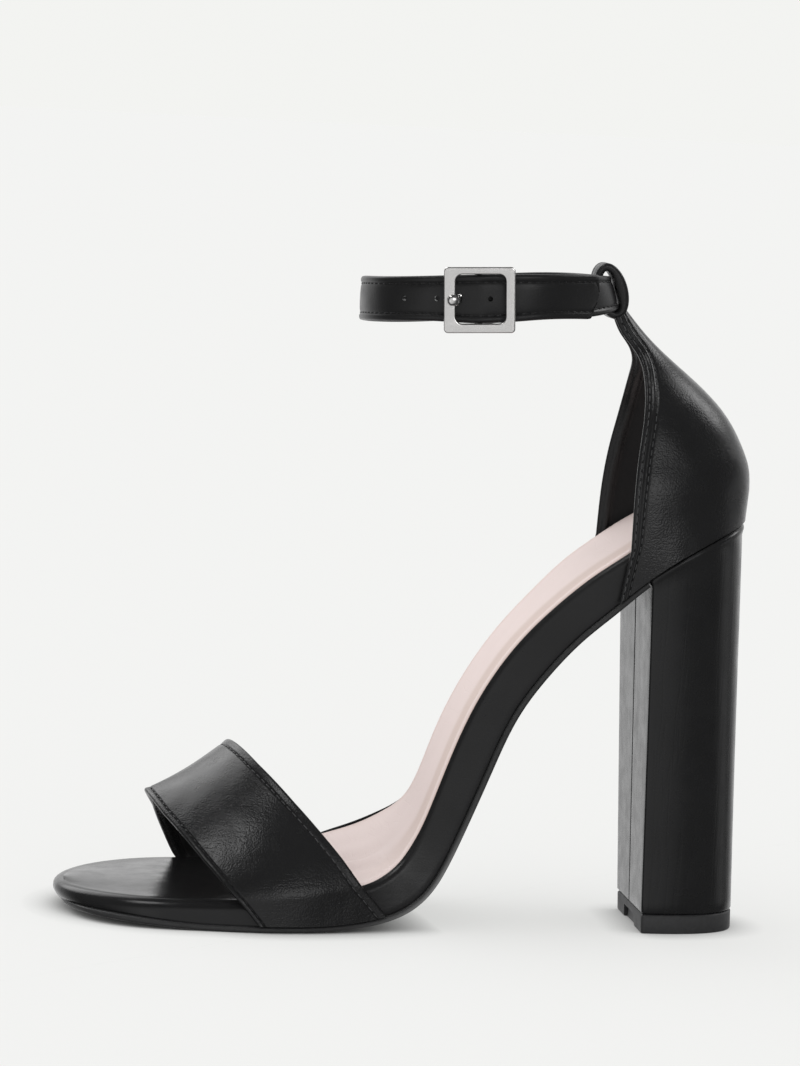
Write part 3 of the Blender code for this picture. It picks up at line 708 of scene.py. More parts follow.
def sole_layer(places, profile, across, lift=None, tip_inset=0.0, toe_round=TOE_ROUNDNESS):
    """Rings of a layer: profile lists (inset, share of the height, offset) up its side, and
    across lists (side, offset) over its top. The tip inset draws in the toe alone."""
    inset, share, offset = np.array(profile, float).T
    over, crown = np.array(across, float).T
    count, tops, unders = len(inset), len(over), len(UNDER_SIDES)
    side = np.concatenate([-np.ones(count), over, np.ones(count), UNDER_SIDES])
    insets = np.concatenate([inset, np.full(tops, inset[-1]), inset[::-1], np.full(unders, inset[0])])
    shares = np.concatenate([share, np.full(tops, share[-1]), share[::-1], np.full(unders, share[0])])
    offsets = np.concatenate([offset, offset[-1] + crown, offset[::-1], np.full(unders, offset[0])])
    toe = np.clip(1 - places / TOE_CAP, 0.0, 1.0) ** 2
    insets = insets[None, :] + tip_inset * toe[:, None]
    at = pulled(places[:, None], insets)
    level = shares * rib(at)[2] + offsets
    if lift is not None:
        level = level + lift(at, side[None, :], insets)
    return sole_points(at, side, level, insets, toe_round)


def arc(inset, radius, offset, steps):
    """Rounded top edge of a side: from upright at its inset to level at its offset."""
    turn = np.radians(np.linspace(0.0, 90.0, steps))
    return [(inset + radius * (1 - math.cos(t)), 1.0, offset - radius + radius * math.sin(t))
            for t in turn]


print("places along the sole:", len(sole_places()))

# %% [markdown]
# The outsole is a thin rubber sheet under the forefoot that runs up the arch to the breast
# of the heel. Its cut edge is slightly rounded, so it catches a thin line of light, and where
# the sole bends a paler painted highlight lies along that edge and a little under it.

# %% Outsole
OUTSOLE_THICK = 1.8
OUTSOLE_TIP_INSET, OUTSOLE_TOE_ROUNDNESS = 1.6, 2.35
OUTSOLE_BREAST_GAP = 0.5
# Painted highlight: paler grey along the outsole's edge where the sole bends, and a little under it.
PAINTED_HIGHLIGHT_SHARE, PAINTED_HIGHLIGHT_SPREAD, UNDER_PAINTED_HIGHLIGHT = 0.85, 19.0, 0.3
outsole_profile = [(0.7, 0, 0.0), (0.25, 0, 0.12), (0.05, 0, 0.45), (0.0, 0, 0.9), (0.05, 0, 1.35),
                   (0.3, 0, 1.7), (0.6, 0, OUTSOLE_THICK)]
painted_highlight_up_edge = [0.5, 1.0, 1.0, 0.5, 0.1, 0.0, 0.0]
flat_across = [(side, 0.0) for side in (-0.6, -0.2, 0.2, 0.6)]
outsole_places = sole_places(0.0, place_at_x(BREAST_X_SEAT - OUTSOLE_BREAST_GAP, 0.0, on_tread))
outsole_rings = sole_layer(outsole_places, outsole_profile, flat_across,
                           tip_inset=OUTSOLE_TIP_INSET, toe_round=OUTSOLE_TOE_ROUNDNESS)
painted_highlight_round_ring = np.array(painted_highlight_up_edge + [0.0] * len(flat_across) + painted_highlight_up_edge[::-1]
                      + [UNDER_PAINTED_HIGHLIGHT] * len(UNDER_SIDES))
painted_highlight_at_bend = np.exp(-((outsole_places - SOLE.knot("bend rear")) / PAINTED_HIGHLIGHT_SPREAD) ** 2)
shoe_piece("outsole_rubber", outsole_rings, [OUTSOLE_RUBBER], ["outsole"],
           painted_light_and_edge_per_point=PAINTED_HIGHLIGHT_SHARE * painted_highlight_at_bend[:, None] * painted_highlight_round_ring)

# %% [markdown]
# The platform is a light midsole wrapped in leather. The wrap is pulled over its upper edge,
# which becomes soft and round. Under the toe cover that edge lies a little lower, and on the
# inner side of the ball, where the insole climbs, it stands up as a thin dark rim by the sock.

# %% Platform wrap
PLATFORM_INSET = 0.8
SPLIT_X = -38.0
SPLIT_BLEND = 12.0
split = place_at_x(SPLIT_X, 0.0, on_tread)
WRAP_RADIUS = 2.4
WRAP_DROP_TOE, WRAP_DROP_REAR = 0.9, 0.6
RIM_PLACE = place_at_x(-1.0, 0.0, on_top)
INNER_RIM, RIM_SPREAD = 1.5, 18.0
RIM_INSET, RIM_FADE = 2.4, 1.0
BALL_PLACE = place_at_x(-7.0, 0.0, on_top)
BALL_RISE, BALL_SPREAD = 1.4, 15.0


def ball_rise(at, side):
    """The insole climbs a little under the inner side of the ball."""
    return BALL_RISE * np.clip(side, 0.0, 1.0) * np.exp(-((at - BALL_PLACE) / BALL_SPREAD) ** 2)


def wrap_lift(at, side, inset):
    """How far the wrap's edge stands above its level behind the toe cover."""
    ahead = np.clip((split + SPLIT_BLEND / 2 - at) / SPLIT_BLEND, 0.0, 1.0)
    toe = (WRAP_DROP_REAR - WRAP_DROP_TOE) * ahead
    rim = INNER_RIM * (side > 0.9) * np.exp(-((at - RIM_PLACE) / RIM_SPREAD) ** 2)
    rim = rim * np.clip(1 - (inset - RIM_INSET) / RIM_FADE, 0.0, 1.0)
    return np.where(inset > PLATFORM_INSET, toe + rim + ball_rise(at, side), 0.0)


wrap_foot, wrap_turn = OUTSOLE_THICK + 0.5, -WRAP_DROP_REAR - WRAP_RADIUS
wrap_profile = [(1.3, 0, OUTSOLE_THICK + 0.05), (0.9, 0, OUTSOLE_THICK + 0.15),
                (PLATFORM_INSET, 0, wrap_foot)]
wrap_profile += [(PLATFORM_INSET, share, wrap_foot + (wrap_turn - wrap_foot) * share)
                 for share in (0.2, 0.4, 0.6, 0.8, 0.95)]
wrap_profile += arc(PLATFORM_INSET, WRAP_RADIUS, -WRAP_DROP_REAR, 9)
wrap_profile += [(4.0, 1, -WRAP_DROP_REAR - 0.5)]
wrap_rings = sole_layer(sole_places(), wrap_profile, flat_across, wrap_lift)
shoe_piece("platform_wrap", wrap_rings, [WRAP], ["platform"])

# %% [markdown]
# The toe cover is the black front half of the insole. One piece of leather lies over the
# platform's front and is pulled down its rim to the outsole, so the edge is a soft round
# nose and no seam shows beside the toes.

# %% Toe cover
TOE_COVER_INSET = PLATFORM_INSET - 0.12
TOE_NOSE_RADIUS = 3.6
TOE_CROWN, TOE_CROWN_POWER = 0.6, 1.7
TOE_COVER_LAP = 3.0
toe_profile = [(TOE_COVER_INSET + 0.5, 0, OUTSOLE_THICK + 0.1),
               (TOE_COVER_INSET + 0.05, 0, OUTSOLE_THICK + 0.3),
               (TOE_COVER_INSET, 0, OUTSOLE_THICK + 0.8)]
toe_profile += arc(TOE_COVER_INSET, TOE_NOSE_RADIUS, -0.02, 12)
toe_across = [(side, TOE_CROWN * (1 - side ** 2) ** TOE_CROWN_POWER)
              for side in np.linspace(-0.98, 0.98, 33)]
toe_rings = sole_layer(sole_places(0.0, split + TOE_COVER_LAP), toe_profile, toe_across)
shoe_piece("toe_cover", toe_rings, [TOE], ["toe_insole"])

# %% [markdown]
# The pink sock runs from under the toe band to the heel. It is glued over a thin pad, so its
# edge is round and its face is slightly hollow, with a few soft waves at the ball where the
# shoe bends. Its rolled edge is browner, and painted shade darkens a strip inside each rim and a
# band along its outer side. On that side the painted shade starts at the ball and is full at the arch.

# %% Pink sock
SOCK_INSET = 2.2
SOCK_HOLLOW = 0.5
BALL_WAVE, WAVE_BEHIND_SPLIT, WAVE_SPREAD, WAVE_EASE = 1.25, 30.0, 15.0, 2.0
FOLDS_ACROSS, FOLDS_ALONG, FOLD_LEVEL, FOLD_LEAN = 11.0, 0.11, 0.7, 0.6


def sock_waves(at, side, inset):
    """Soft folds along the shoe at the ball, nearest the outer side."""
    ball = np.exp(-((at - split - WAVE_BEHIND_SPLIT) / WAVE_SPREAD) ** 2)
    inner = np.clip((inset - SOCK_INSET) / WAVE_EASE, 0.0, 1.0) * np.clip(1 - side ** 2, 0.0, 1.0)
    wave = BALL_WAVE * ball * inner * (FOLD_LEVEL + np.sin(FOLDS_ACROSS * side + FOLDS_ALONG * at))
    return wave * (1 - FOLD_LEAN * side) + ball_rise(at, side)


sock_profile = [(SOCK_INSET + 0.05, 1, -1.15)] + arc(SOCK_INSET, 1.0, 0.0, 8)
sock_profile += [(3.7, 1, 0.04), (4.3, 1, 0.04), (5.2, 1, 0.0)]
sock_across = [(side, SOCK_HOLLOW * (side ** 2 - 1)) for side in np.linspace(-0.94, 0.94, 25)]
sock_places = sole_places(split, HEEL_END)
sock_rings = sole_layer(sock_places, sock_profile, sock_across, sock_waves)
# Share of brown on each point: the rolled edge's own tone, then painted shade in a strip inside each
# rim and in a band along the outer side.
outer_rim_and_painted_shade = [1.0, 1.0, 0.8, 0.5, 0.2, 0.05, 0.0, 0.05, 0.2, 0.5, 0.6, 0.65]
outer_painted_shade_band = [0.65, 0.65, 0.65, 0.62, 0.5, 0.25, 0.06]
inner_rim_and_painted_shade = [0.15, 0.25, 0.3, 0.35, 0.4, 0.4, 0.45, 0.6, 0.8, 0.9, 1.0, 1.0]
plain_columns = [0.0] * (len(sock_across) - len(outer_painted_shade_band))
rim_and_painted_shade_ring = np.array(outer_rim_and_painted_shade + outer_painted_shade_band + plain_columns + inner_rim_and_painted_shade
                     + [1.0] * len(UNDER_SIDES))
rim_and_painted_shade_rows = np.tile(rim_and_painted_shade_ring, (len(sock_rings), 1))
painted_band_start, painted_band_full = SOLE.knot("ball rear"), SOLE.knot("arch low")
painted_band_share = np.clip((sock_places - painted_band_start) / (painted_band_full - painted_band_start), 0.0, 1.0)
rim_and_painted_shade_rows[:, 2:len(outer_rim_and_painted_shade) + len(outer_painted_shade_band)] *= painted_band_share[:, None]
shoe_piece("pink_sock", sock_rings, [SOCK], ["insole"], painted_light_and_edge_per_point=rim_and_painted_shade_rows)

# %% [markdown]
# Leather is measured along its face, so the edges, the seams and the stitches ahead are all
# placed by walking along lines of points.

# %% Walking along lines
def unit(vectors):
    return vectors / np.linalg.norm(vectors, axis=-1, keepdims=True)


def run_lengths(line):
    """Distance along a line of points to each of them."""
    steps = np.linalg.norm(np.diff(line, axis=0), axis=1)
    return np.concatenate([[0.0], np.cumsum(steps)])


def read_along(values, runs, places):
    """Vectors that are known at the distances runs, read at places between them."""
    return np.column_stack([np.interp(places, runs, values[:, axis]) for axis in range(3)])


def along_line(line, places):
    """Points at given distances along a line of points."""
    return read_along(line, run_lengths(line), places)


sock_edge = run_lengths(sock_rings[:, len(outer_rim_and_painted_shade)])[-1]
print("sock is", round(sock_edge), "mm long by its outer edge")

# %% [markdown]
# The band and the heel cup are cut from leather, lined, and turned over at their edges. Such
# an edge is a thick soft roll with a stitched groove behind it, and what is turned in shows as
# a narrow hem on the lining. It could be bevelled, but it is drawn here: each line across the
# sheet is walked from edge to edge, lifted by a roll and a groove, turned round the edge in a
# half circle, and walked back along the lining.

# %% Sheets with rolled edges
EDGE_REACH = 4.6
EDGE_STEPS = np.concatenate([np.arange(0.0, 3.3, 0.2), [3.5, 3.9, EDGE_REACH]])
FAR_OFF = 9.0
EDGE_WALL_SHARE, EDGE_TAPER = 0.72, 1.2
HEM_WIDTH, HEM_STEP, HEM_LIFT = 3.3, 0.3, 0.28
ROUND_STEPS = np.radians(np.linspace(0.0, 180.0, 10)[1:-1])


def edge_lift(gap, ridges):
    """How far the face stands out near an edge; ridges lists (distance, height, width)."""
    return sum(height * np.exp(-((gap - place) / width) ** 2) for place, height, width in ridges)


def walked_across(sheet, middle, trims):
    """Each line across a sheet, sampled close together near its two edges, which are trimmed
    by the first and the last of its trims."""
    lines = []
    inner = np.linspace(0.0, 1.0, middle + 2)[1:-1]
    for line, (first, last) in zip(sheet, trims):
        length = run_lengths(line)[-1] - first - last
        between = EDGE_REACH + (length - 2 * EDGE_REACH) * inner
        places = np.concatenate([EDGE_STEPS, between, length - EDGE_STEPS[::-1]])
        lines.append(along_line(line, first + places))
    return np.array(lines)


def sheet_normals(face):
    """Normals of a grid of points, away from the middle of the piece."""
    normal = unit(np.cross(np.gradient(face, axis=1), np.gradient(face, axis=0)))
    outward = (normal * (face - face.mean((0, 1)))).sum(-1).mean()
    return normal * np.sign(outward)


def turned_edge(first, second, normal, wall, lift):
    """Half circle round an edge, from its face to its lining."""
    off = unit(first - second)
    radius = (wall + lift) / 2
    middle = first + normal * (lift - wall) / 2
    turns = ROUND_STEPS[None, :, None]
    return middle[:, None] + radius * (normal[:, None] * np.cos(turns) + off[:, None] * np.sin(turns))


def rolled_sheet(sheet, wall, middle, trims, first_ridges, last_ridges):
    """Rings round a lined sheet with two rolled edges, the finish of each column, and its
    face and normals for sewing."""
    face = walked_across(sheet, middle, trims)
    normal = sheet_normals(face)
    from_first = np.concatenate([EDGE_STEPS, np.full(middle + len(EDGE_STEPS), FAR_OFF)])
    from_last = from_first[::-1]
    lift = edge_lift(from_first, first_ridges) + edge_lift(from_last, last_ridges)
    outer = face + normal * lift[None, :, None]
    near = np.minimum(from_first, from_last)
    thick = wall * (1 - (1 - EDGE_WALL_SHARE) * np.exp(-(near / EDGE_TAPER) ** 2))
    hem = HEM_LIFT * np.clip(near, 0.0, 1.0) * np.clip((HEM_WIDTH - near) / HEM_STEP, 0.0, 1.0)
    lining = (face - normal * (thick + hem)[None, :, None])[:, ::-2]
    edge_wall = wall * EDGE_WALL_SHARE
    rear = turned_edge(face[:, -1], face[:, -2], normal[:, -1], edge_wall, lift[-1])
    front = turned_edge(face[:, 0], face[:, 1], normal[:, 0], edge_wall, lift[0])[:, ::-1]
    rings = np.concatenate([outer, rear, lining, front], 1)
    lined = np.minimum(near[::-2][:-1], near[::-2][1:]) > HEM_WIDTH
    finish = [0] * (outer.shape[1] + rear.shape[1]) + list(lined) + [0] * (front.shape[1] + 1)
    return rings, np.array(finish, int), outer, normal


def edge_column(distance):
    """Column of a rolled sheet at a distance from its first edge."""
    return int(np.argmin(abs(EDGE_STEPS - distance)))


print("edges are sampled at", len(EDGE_STEPS), "distances")

# %% [markdown]
# A sewing machine leaves a row of short threads that come up out of the leather and dive
# back in. Each stitch is a four-point curve with a round bevel, and one curve object holds
# a whole seam, which keeps the piece light. Each seam may have its own thread.

# %% Stitches
STITCH_PITCH = 2.5
STITCH_LENGTH = 1.9
THREAD_RADIUS = 0.2
STITCH_ARCH = ((-0.5, -0.3), (-0.34, 0.07), (0.34, 0.07), (0.5, -0.3))


def sewn(name, line, normals, thread=THREAD):
    """Row of stitches along a line that lies on the leather."""
    runs = run_lengths(line)
    count = int(runs[-1] // STITCH_PITCH)
    seam = bpy.data.curves.new(name, "CURVE")
    seam.dimensions = "3D"
    seam.bevel_depth = THREAD_RADIUS * MM
    seam.bevel_resolution = 1
    seam.use_fill_caps = True
    seam.materials.append(thread)
    shares, rises = np.array(STITCH_ARCH).T
    for middle in (np.arange(count) + 0.5) * runs[-1] / count:
        places = middle + shares * STITCH_LENGTH
        out = unit(read_along(normals, runs, places))
        points = read_along(line, runs, places) + out * rises[:, None]
        stitch = seam.splines.new("POLY")
        stitch.points.add(len(STITCH_ARCH) - 1)
        for corner, point in zip(stitch.points, (points + MOVED) * MM):
            corner.co = (*point, 1.0)
    print(name, "has", count, "stitches")
    return joined_to_shoe(bpy.data.objects.new(name, seam))


print("stitches are", STITCH_LENGTH, "mm long, one every", STITCH_PITCH, "mm")

# %% [markdown]
# The vamp band is the wide band over the toes. Its two edges slant back from the big toe to
# the little toe, and each line across it rises from the outsole, over the foot and down
# again. Its table gives where an edge crosses the insole's two sides and the top of the foot.
# One spare line is drawn in front of the front edge, for the trimming that follows.

# %% Vamp band's shape
GAP = 0.3
VAMP_WALL = 1.8
VAMP = Table(
    ("lateral_x", "medial_x", "apex_x", "apex_z", "outer_roundness", "inner_roundness"),
    {
        "front edge": (-44.5, -58.2, -70.3, 34.5, 1.58, 1.28),
        "middle": (-27.2, -42.1, -57.6, 40.9, 1.8, 1.7),
        "rear edge": (-10.0, -26.0, -45.2, 49.2, 1.97, 1.97),
    },
    ("apex_x", "apex_z"))
VAMP_APEX_SHIFT = 2.0
VAMP_LINES, VAMP_COLUMNS, ARCH_POINTS = 61, 130, 121
VAMP_SPARE = 2.6
WALL_SHARES = np.linspace(0.0, 0.9, 8)
WALL_FOOT = OUTSOLE_THICK + 0.3


def wall_level(share):
    """Level beside the platform: share 0 is just above the outsole, 1 the insole's top."""
    return lambda height: WALL_FOOT + (height - WALL_FOOT) * share


def wall_point(x, side, share, reach):
    """Point beside the platform's wall at x, a share of the way up it; reach is its inset."""
    level = wall_level(share)
    at = place_at_x(x, side, level, reach)
    return sole_points(at, side, level(rib(at)[2]), reach)


def vamp_line(at):
    """One line over the band: up the inner wall, over the foot, down the outer wall."""
    reach = PLATFORM_INSET - GAP - VAMP_WALL
    inner = wall_point(VAMP("medial_x", at), 1.0, 1.0, reach)
    outer = wall_point(VAMP("lateral_x", at), -1.0, 1.0, reach)
    centre = (inner + outer) / 2
    half = (inner - outer) / 2
    rise = np.array([VAMP("apex_x", at), centre[1] + VAMP_APEX_SHIFT, VAMP("apex_z", at)]) - centre
    turn = np.linspace(0.0, math.pi, ARCH_POINTS)[:, None]
    power = np.where(np.cos(turn) > 0, 2 / VAMP("inner_roundness", at), 2 / VAMP("outer_roundness", at))
    across = np.sign(np.cos(turn)) * np.abs(np.cos(turn)) ** power
    arch = centre + half * across + rise * np.maximum(np.sin(turn), 0.0) ** power
    lean = rise[0] / rise[2]
    walls = []
    for side, foot in ((1.0, inner), (-1.0, outer)):
        drops = [wall_point(foot[0], side, share, reach)[2] - foot[2] for share in WALL_SHARES]
        walls.append(np.array([wall_point(foot[0] + lean * drop, side, share, reach)
                               for drop, share in zip(drops, WALL_SHARES)]))
    return np.concatenate([walls[0], arch, walls[1][::-1]])


vamp_rows = []
for at in np.concatenate([[-VAMP_SPARE], np.linspace(0.0, VAMP.knots[-1], VAMP_LINES)]):
    line = vamp_line(at)
    vamp_rows.append(along_line(line, np.linspace(0.0, run_lengths(line)[-1], VAMP_COLUMNS)))
vamp_sheet = np.array(vamp_rows).transpose(1, 0, 2)
print("vamp band rises to", vamp_sheet[..., 2].max().round(1), "mm")

# %% [markdown]
# A cut edge is never quite the line that the pattern gives. Here each edge is trimmed by an
# amount that changes from the inner side to the outer side: a trim above 0 cuts into the
# band, and one below 0 lets it stand out into the spare line. Then the edges are rolled and
# sewn.

# %% Vamp band
VAMP_MIDDLE = 26
VAMP_FRONT_SEAM, VAMP_REAR_SEAM = 1.2, 2.0
vamp_front_ridges = ((0.0, 0.12, 0.7), (VAMP_FRONT_SEAM, -0.3, 0.28))
vamp_rear_ridges = ((0.0, 0.18, 1.0), (VAMP_REAR_SEAM, -0.32, 0.34))
vamp_share = np.linspace(0.0, 1.0, VAMP_COLUMNS)
spare = np.linalg.norm(vamp_sheet[:, 1] - vamp_sheet[:, 0], axis=1)
front_trim = np.interp(vamp_share, (0.0, 0.15, 0.3, 0.46, 0.6, 0.8, 0.9, 1.0),
                       (0.5, 1.1, 1.4, 0.0, -1.2, -1.4, -0.9, 0.2))
rear_trim = np.interp(vamp_share, (0.0, 0.42, 0.6, 0.72, 0.86, 1.0),
                      (1.4, 0.5, 1.5, 1.35, 0.6, 0.9))
vamp_trims = np.column_stack([spare + front_trim, rear_trim])
vamp_rings, vamp_finish, vamp_face, vamp_normal = rolled_sheet(
    vamp_sheet, VAMP_WALL, VAMP_MIDDLE, vamp_trims, vamp_front_ridges, vamp_rear_ridges)
shoe_piece("vamp_band_leather", vamp_rings, [UPPER, LINING], ["vamp_band"],
           column_finish=vamp_finish)
for name, column, thread in (("vamp_front_stitches", edge_column(VAMP_FRONT_SEAM), UPPER),
                             ("vamp_rear_stitches", -1 - edge_column(VAMP_REAR_SEAM), THREAD)):
    sewn(name, vamp_face[:, column], vamp_normal[:, column], thread)

# %% [markdown]
# The heel counter is the cup that holds the heel. Below it follows the platform's side, and
# above it draws in to a narrow tab behind the ankle. The plan of its lowest free line is kept
# all the way up and only scaled, so the cup stays smooth from side to side.

# %% Heel counter's shape
COUNTER_WALL = 2.0
COUNTER_FRONT_X_BOTTOM = 60.6
COUNTER_FRONT_X_TOP = 63.2
COUNTER_COLUMNS = ("front_x", "front_z", "back_x", "back_z", "half_width")
COUNTER_ROWS = {
    "cup": (63.5, 126.5, 101.8, 136.0, 28.0),
    "upper cup": (64.3, 138.0, 99.4, 142.4, 26.0),
    "shoulder": (65.6, 147.3, 95.3, 149.6, 23.5),
    "upper shoulder": (66.5, 155.5, 89.6, 156.2, 20.0),
    "neck": (66.7, 162.0, 82.5, 162.4, 15.0),
    "upper neck": (66.2, 166.6, 76.2, 167.5, 10.2),
    "tab foot": (64.2, 170.3, 71.3, 171.8, 7.6),
    "tab": (61.4, 173.6, 67.4, 175.8, 6.8),
    "tab end": (59.0, 178.3, 63.5, 180.3, 5.7),
}
COUNTER_POINTS, COUNTER_LOW_LEVELS, COUNTER_HIGH_LEVELS = 161, 9, 56


def counter_low_line(share):
    """Line round the cup beside the platform, from the outer front edge to the inner one."""
    reach = PLATFORM_INSET - GAP - COUNTER_WALL
    front = COUNTER_FRONT_X_BOTTOM + (COUNTER_FRONT_X_TOP - COUNTER_FRONT_X_BOTTOM) * share
    level = wall_level(share)
    sides = []
    for side in (-1.0, 1.0):
        at = pulled(sole_places(place_at_x(front, side, level, reach)), reach)
        sides.append(sole_points(at, side, level(rib(at)[2]), reach))
    line = np.concatenate([sides[0], sides[1][-2::-1]])
    return along_line(line, np.linspace(0.0, run_lengths(line)[-1], COUNTER_POINTS))


counter_lines = [counter_low_line(share) for share in np.linspace(0.0, 1.0, COUNTER_LOW_LEVELS)]
base = counter_lines[-1]
front, rear = base[0], base[COUNTER_POINTS // 2]
depth = (base[:, 0] - front[0]) / (rear[0] - front[0])
across = base[:, 1] / abs(base[:, 1]).max()
seat = (base[:, 2] - front[2]) / (rear[2] - front[2])
foot_row = {"insole": (front[0], front[2], rear[0], rear[2], abs(base[:, 1]).max())}
COUNTER = Table(COUNTER_COLUMNS, {**foot_row, **COUNTER_ROWS}, ("back_x", "back_z"))
for at in np.linspace(0.0, COUNTER.knots[-1], COUNTER_HIGH_LEVELS + 1)[1:]:
    row = {column: COUNTER(column, at) for column in COUNTER_COLUMNS}
    climb = seat + (depth - seat) * min(at / COUNTER.knot("shoulder"), 1.0)
    counter_lines.append(np.column_stack([
        row["front_x"] + (row["back_x"] - row["front_x"]) * depth,
        row["half_width"] * across,
        row["front_z"] + (row["back_z"] - row["front_z"]) * climb]))
print("counter rises to", counter_lines[-1][:, 2].max().round(1), "mm")

# %% [markdown]
# The cup's two front edges are rolled like the band's and sewn twice, once close to the edge
# and once in a groove behind the roll. The inner edge, which shows beyond the outer one in
# the photograph, is trimmed more and more towards the tab.

# %% Heel counter
COUNTER_MIDDLE = 70
COUNTER_SEAM, COUNTER_EDGE_SEAM = 2.8, 0.4
COUNTER_OUTER_TRIM = 1.1
counter_ridges = ((0.0, 0.1, 0.5), (1.0, -0.14, 0.4), (1.9, 0.24, 0.5), (COUNTER_SEAM, -0.3, 0.3))
inner_trims = np.interp([line[-1][2] for line in counter_lines],
                        (105.0, 125.0, 140.0, 152.0, 166.0, 178.0), (0.0, 0.6, 1.1, 1.4, 2.0, 2.4))
counter_trims = [(COUNTER_OUTER_TRIM, trim) for trim in inner_trims]
counter_rings, counter_finish, counter_face, counter_normal = rolled_sheet(
    np.array(counter_lines), COUNTER_WALL, COUNTER_MIDDLE, counter_trims, counter_ridges,
    counter_ridges)
shoe_piece("heel_counter_leather", counter_rings, [UPPER, LINING],
           ["heel_counter"], column_finish=counter_finish)
for name, distance in (("seam", COUNTER_SEAM), ("edge", COUNTER_EDGE_SEAM)):
    outer_column = edge_column(distance)
    for side, column in (("outer", outer_column), ("inner", -1 - outer_column)):
        sewn("counter_" + side + "_" + name + "_stitches", counter_face[:, column],
             counter_normal[:, column])

# %% [markdown]
# The block heel is a moulding under one sheet of leather. The sheet is wrapped round it from
# the front, so its two ends meet in a seam down the middle of the breast. In plan it is a D,
# with small tight corners where the breast turns into the sides.

# %% Block heel's shape
HEEL_BACK_X_FLOOR = 104.0
HEEL_BACK_X_SEAT = 100.8
HEEL_BACK_HOLLOW = 0.15
HEEL_HALF_WIDTH_FLOOR = 20.6
HEEL_HALF_WIDTH_SEAT = 27.3
HEEL_ROUNDNESS = 2.5
HEEL_CORNER = 0.9
SEAM_DEPTH, SEAM_WIDTH = 0.4, 0.3
SEAM_STEPS = (0.0, 0.16, 0.32, 0.55, 0.9, 1.5, 3.0)
BREAST_STEPS = np.concatenate([SEAM_STEPS, np.linspace(5.0, 17.5, 6)])
CORNER_ANGLES = np.radians(np.linspace(0.0, 90.0, 6))
SIDE_ANGLES = np.radians(np.linspace(0.0, 90.0, 46)[1:])
HALF_COUNT = len(BREAST_STEPS) + len(CORNER_ANGLES) + len(SIDE_ANGLES)
SEAT_PASSES = 8


def heel_half_width(z):
    """The heel widens from the floor to the seat."""
    return HEEL_HALF_WIDTH_FLOOR + (HEEL_HALF_WIDTH_SEAT - HEEL_HALF_WIDTH_FLOOR) * z / SEAT_Z


def heel_back_x(z):
    """The heel's back leans forward and is very slightly hollow."""
    hollow = HEEL_BACK_HOLLOW * np.sin(math.pi * np.clip(z / SEAT_Z, 0.0, 1.0))
    return HEEL_BACK_X_FLOOR + (HEEL_BACK_X_SEAT - HEEL_BACK_X_FLOOR) * z / SEAT_Z - hollow


def heel_ring(z, grow=0.0, seam=True):
    """Half a section of the heel, from the seam to the back; z holds a height for each point."""
    half = heel_half_width(z) + grow
    front = breast_x(z) - grow
    deep = heel_back_x(z) + grow - front
    breast = slice(0, len(BREAST_STEPS))
    corner = slice(breast.stop, breast.stop + len(CORNER_ANGLES))
    side = slice(corner.stop, HALF_COUNT)
    dent = SEAM_DEPTH * np.exp(-(BREAST_STEPS / SEAM_WIDTH) ** 2) if seam else 0.0
    points = np.zeros((HALF_COUNT, 3))
    points[breast, 0] = front[breast] + dent
    points[breast, 1] = BREAST_STEPS * half[breast] / HEEL_HALF_WIDTH_FLOOR
    points[corner, 0] = front[corner] + HEEL_CORNER * (1 - np.cos(CORNER_ANGLES))
    points[corner, 1] = half[corner] - HEEL_CORNER * (1 - np.sin(CORNER_ANGLES))
    run = np.sin(SIDE_ANGLES)
    start = HEEL_CORNER / deep[side]
    points[side, 0] = front[side] + deep[side] * (start + (1 - start) * run)
    points[side, 1] = half[side] * (1 - run ** HEEL_ROUNDNESS) ** (1 / HEEL_ROUNDNESS)
    points[:, 2] = z
    return points


def both_sides(half):
    """Outer side from the seam to the back, then the inner side back to the seam."""
    return np.concatenate([half * (1, -1, 1), half[-2:0:-1]])


seat_line = sole_points(np.linspace(0.0, HEEL_END, FINE_PLACES), 0.0, OUTSOLE_THICK, 0.0)
heel_tops = np.full(HALF_COUNT, SEAT_Z)
for _ in range(SEAT_PASSES):
    heel_tops = np.interp(heel_ring(heel_tops)[:, 0], seat_line[:, 0], seat_line[:, 2])
print("seat climbs from", heel_tops.min().round(1), "to", heel_tops.max().round(1), "mm")

# %% [markdown]
# The heel's top follows the slope of the sole, and its back leans, so the height of each point
# round the top was found in a few passes. The cover is turned in under the heel as a small
# hem, and at the top it ends in a soft lip against the sole.

# %% Block heel
HEEL_LEVELS = 34
HEEL_FOOT = TOP_PIECE_THICK + 0.1
HEEL_HEM = ((0.0, -0.7), (0.2, -0.25), (0.6, 0.0))
HEEL_LIP = ((0.0, -0.5), (0.3, 0.1), (0.7, 0.38), (1.2, 0.45), (2.0, 0.24), (3.0, 0.0))
heel_foot = np.full(HALF_COUNT, HEEL_FOOT)
heel_rings = [both_sides(heel_ring(heel_foot + up, grow)) for up, grow in HEEL_HEM]
lower, upper = heel_foot + HEEL_HEM[-1][0], heel_tops - HEEL_LIP[-1][0]
for share in np.linspace(0.0, 1.0, HEEL_LEVELS)[1:-1]:
    heel_rings.append(both_sides(heel_ring(lower + (upper - lower) * share)))
heel_rings += [both_sides(heel_ring(heel_tops - down, grow)) for down, grow in HEEL_LIP[::-1]]
shoe_piece("heel_cover", heel_rings, [HEEL_LEATHER], ["heel_block"])

# %% [markdown]
# The top piece is the rubber lift that meets the floor. It is a hair narrower than the heel,
# its edges are eased, and the middle of its front is notched out. The notch is cut with a
# Boolean, whose result is kept as a plain mesh so that no cutter stays in the scene.

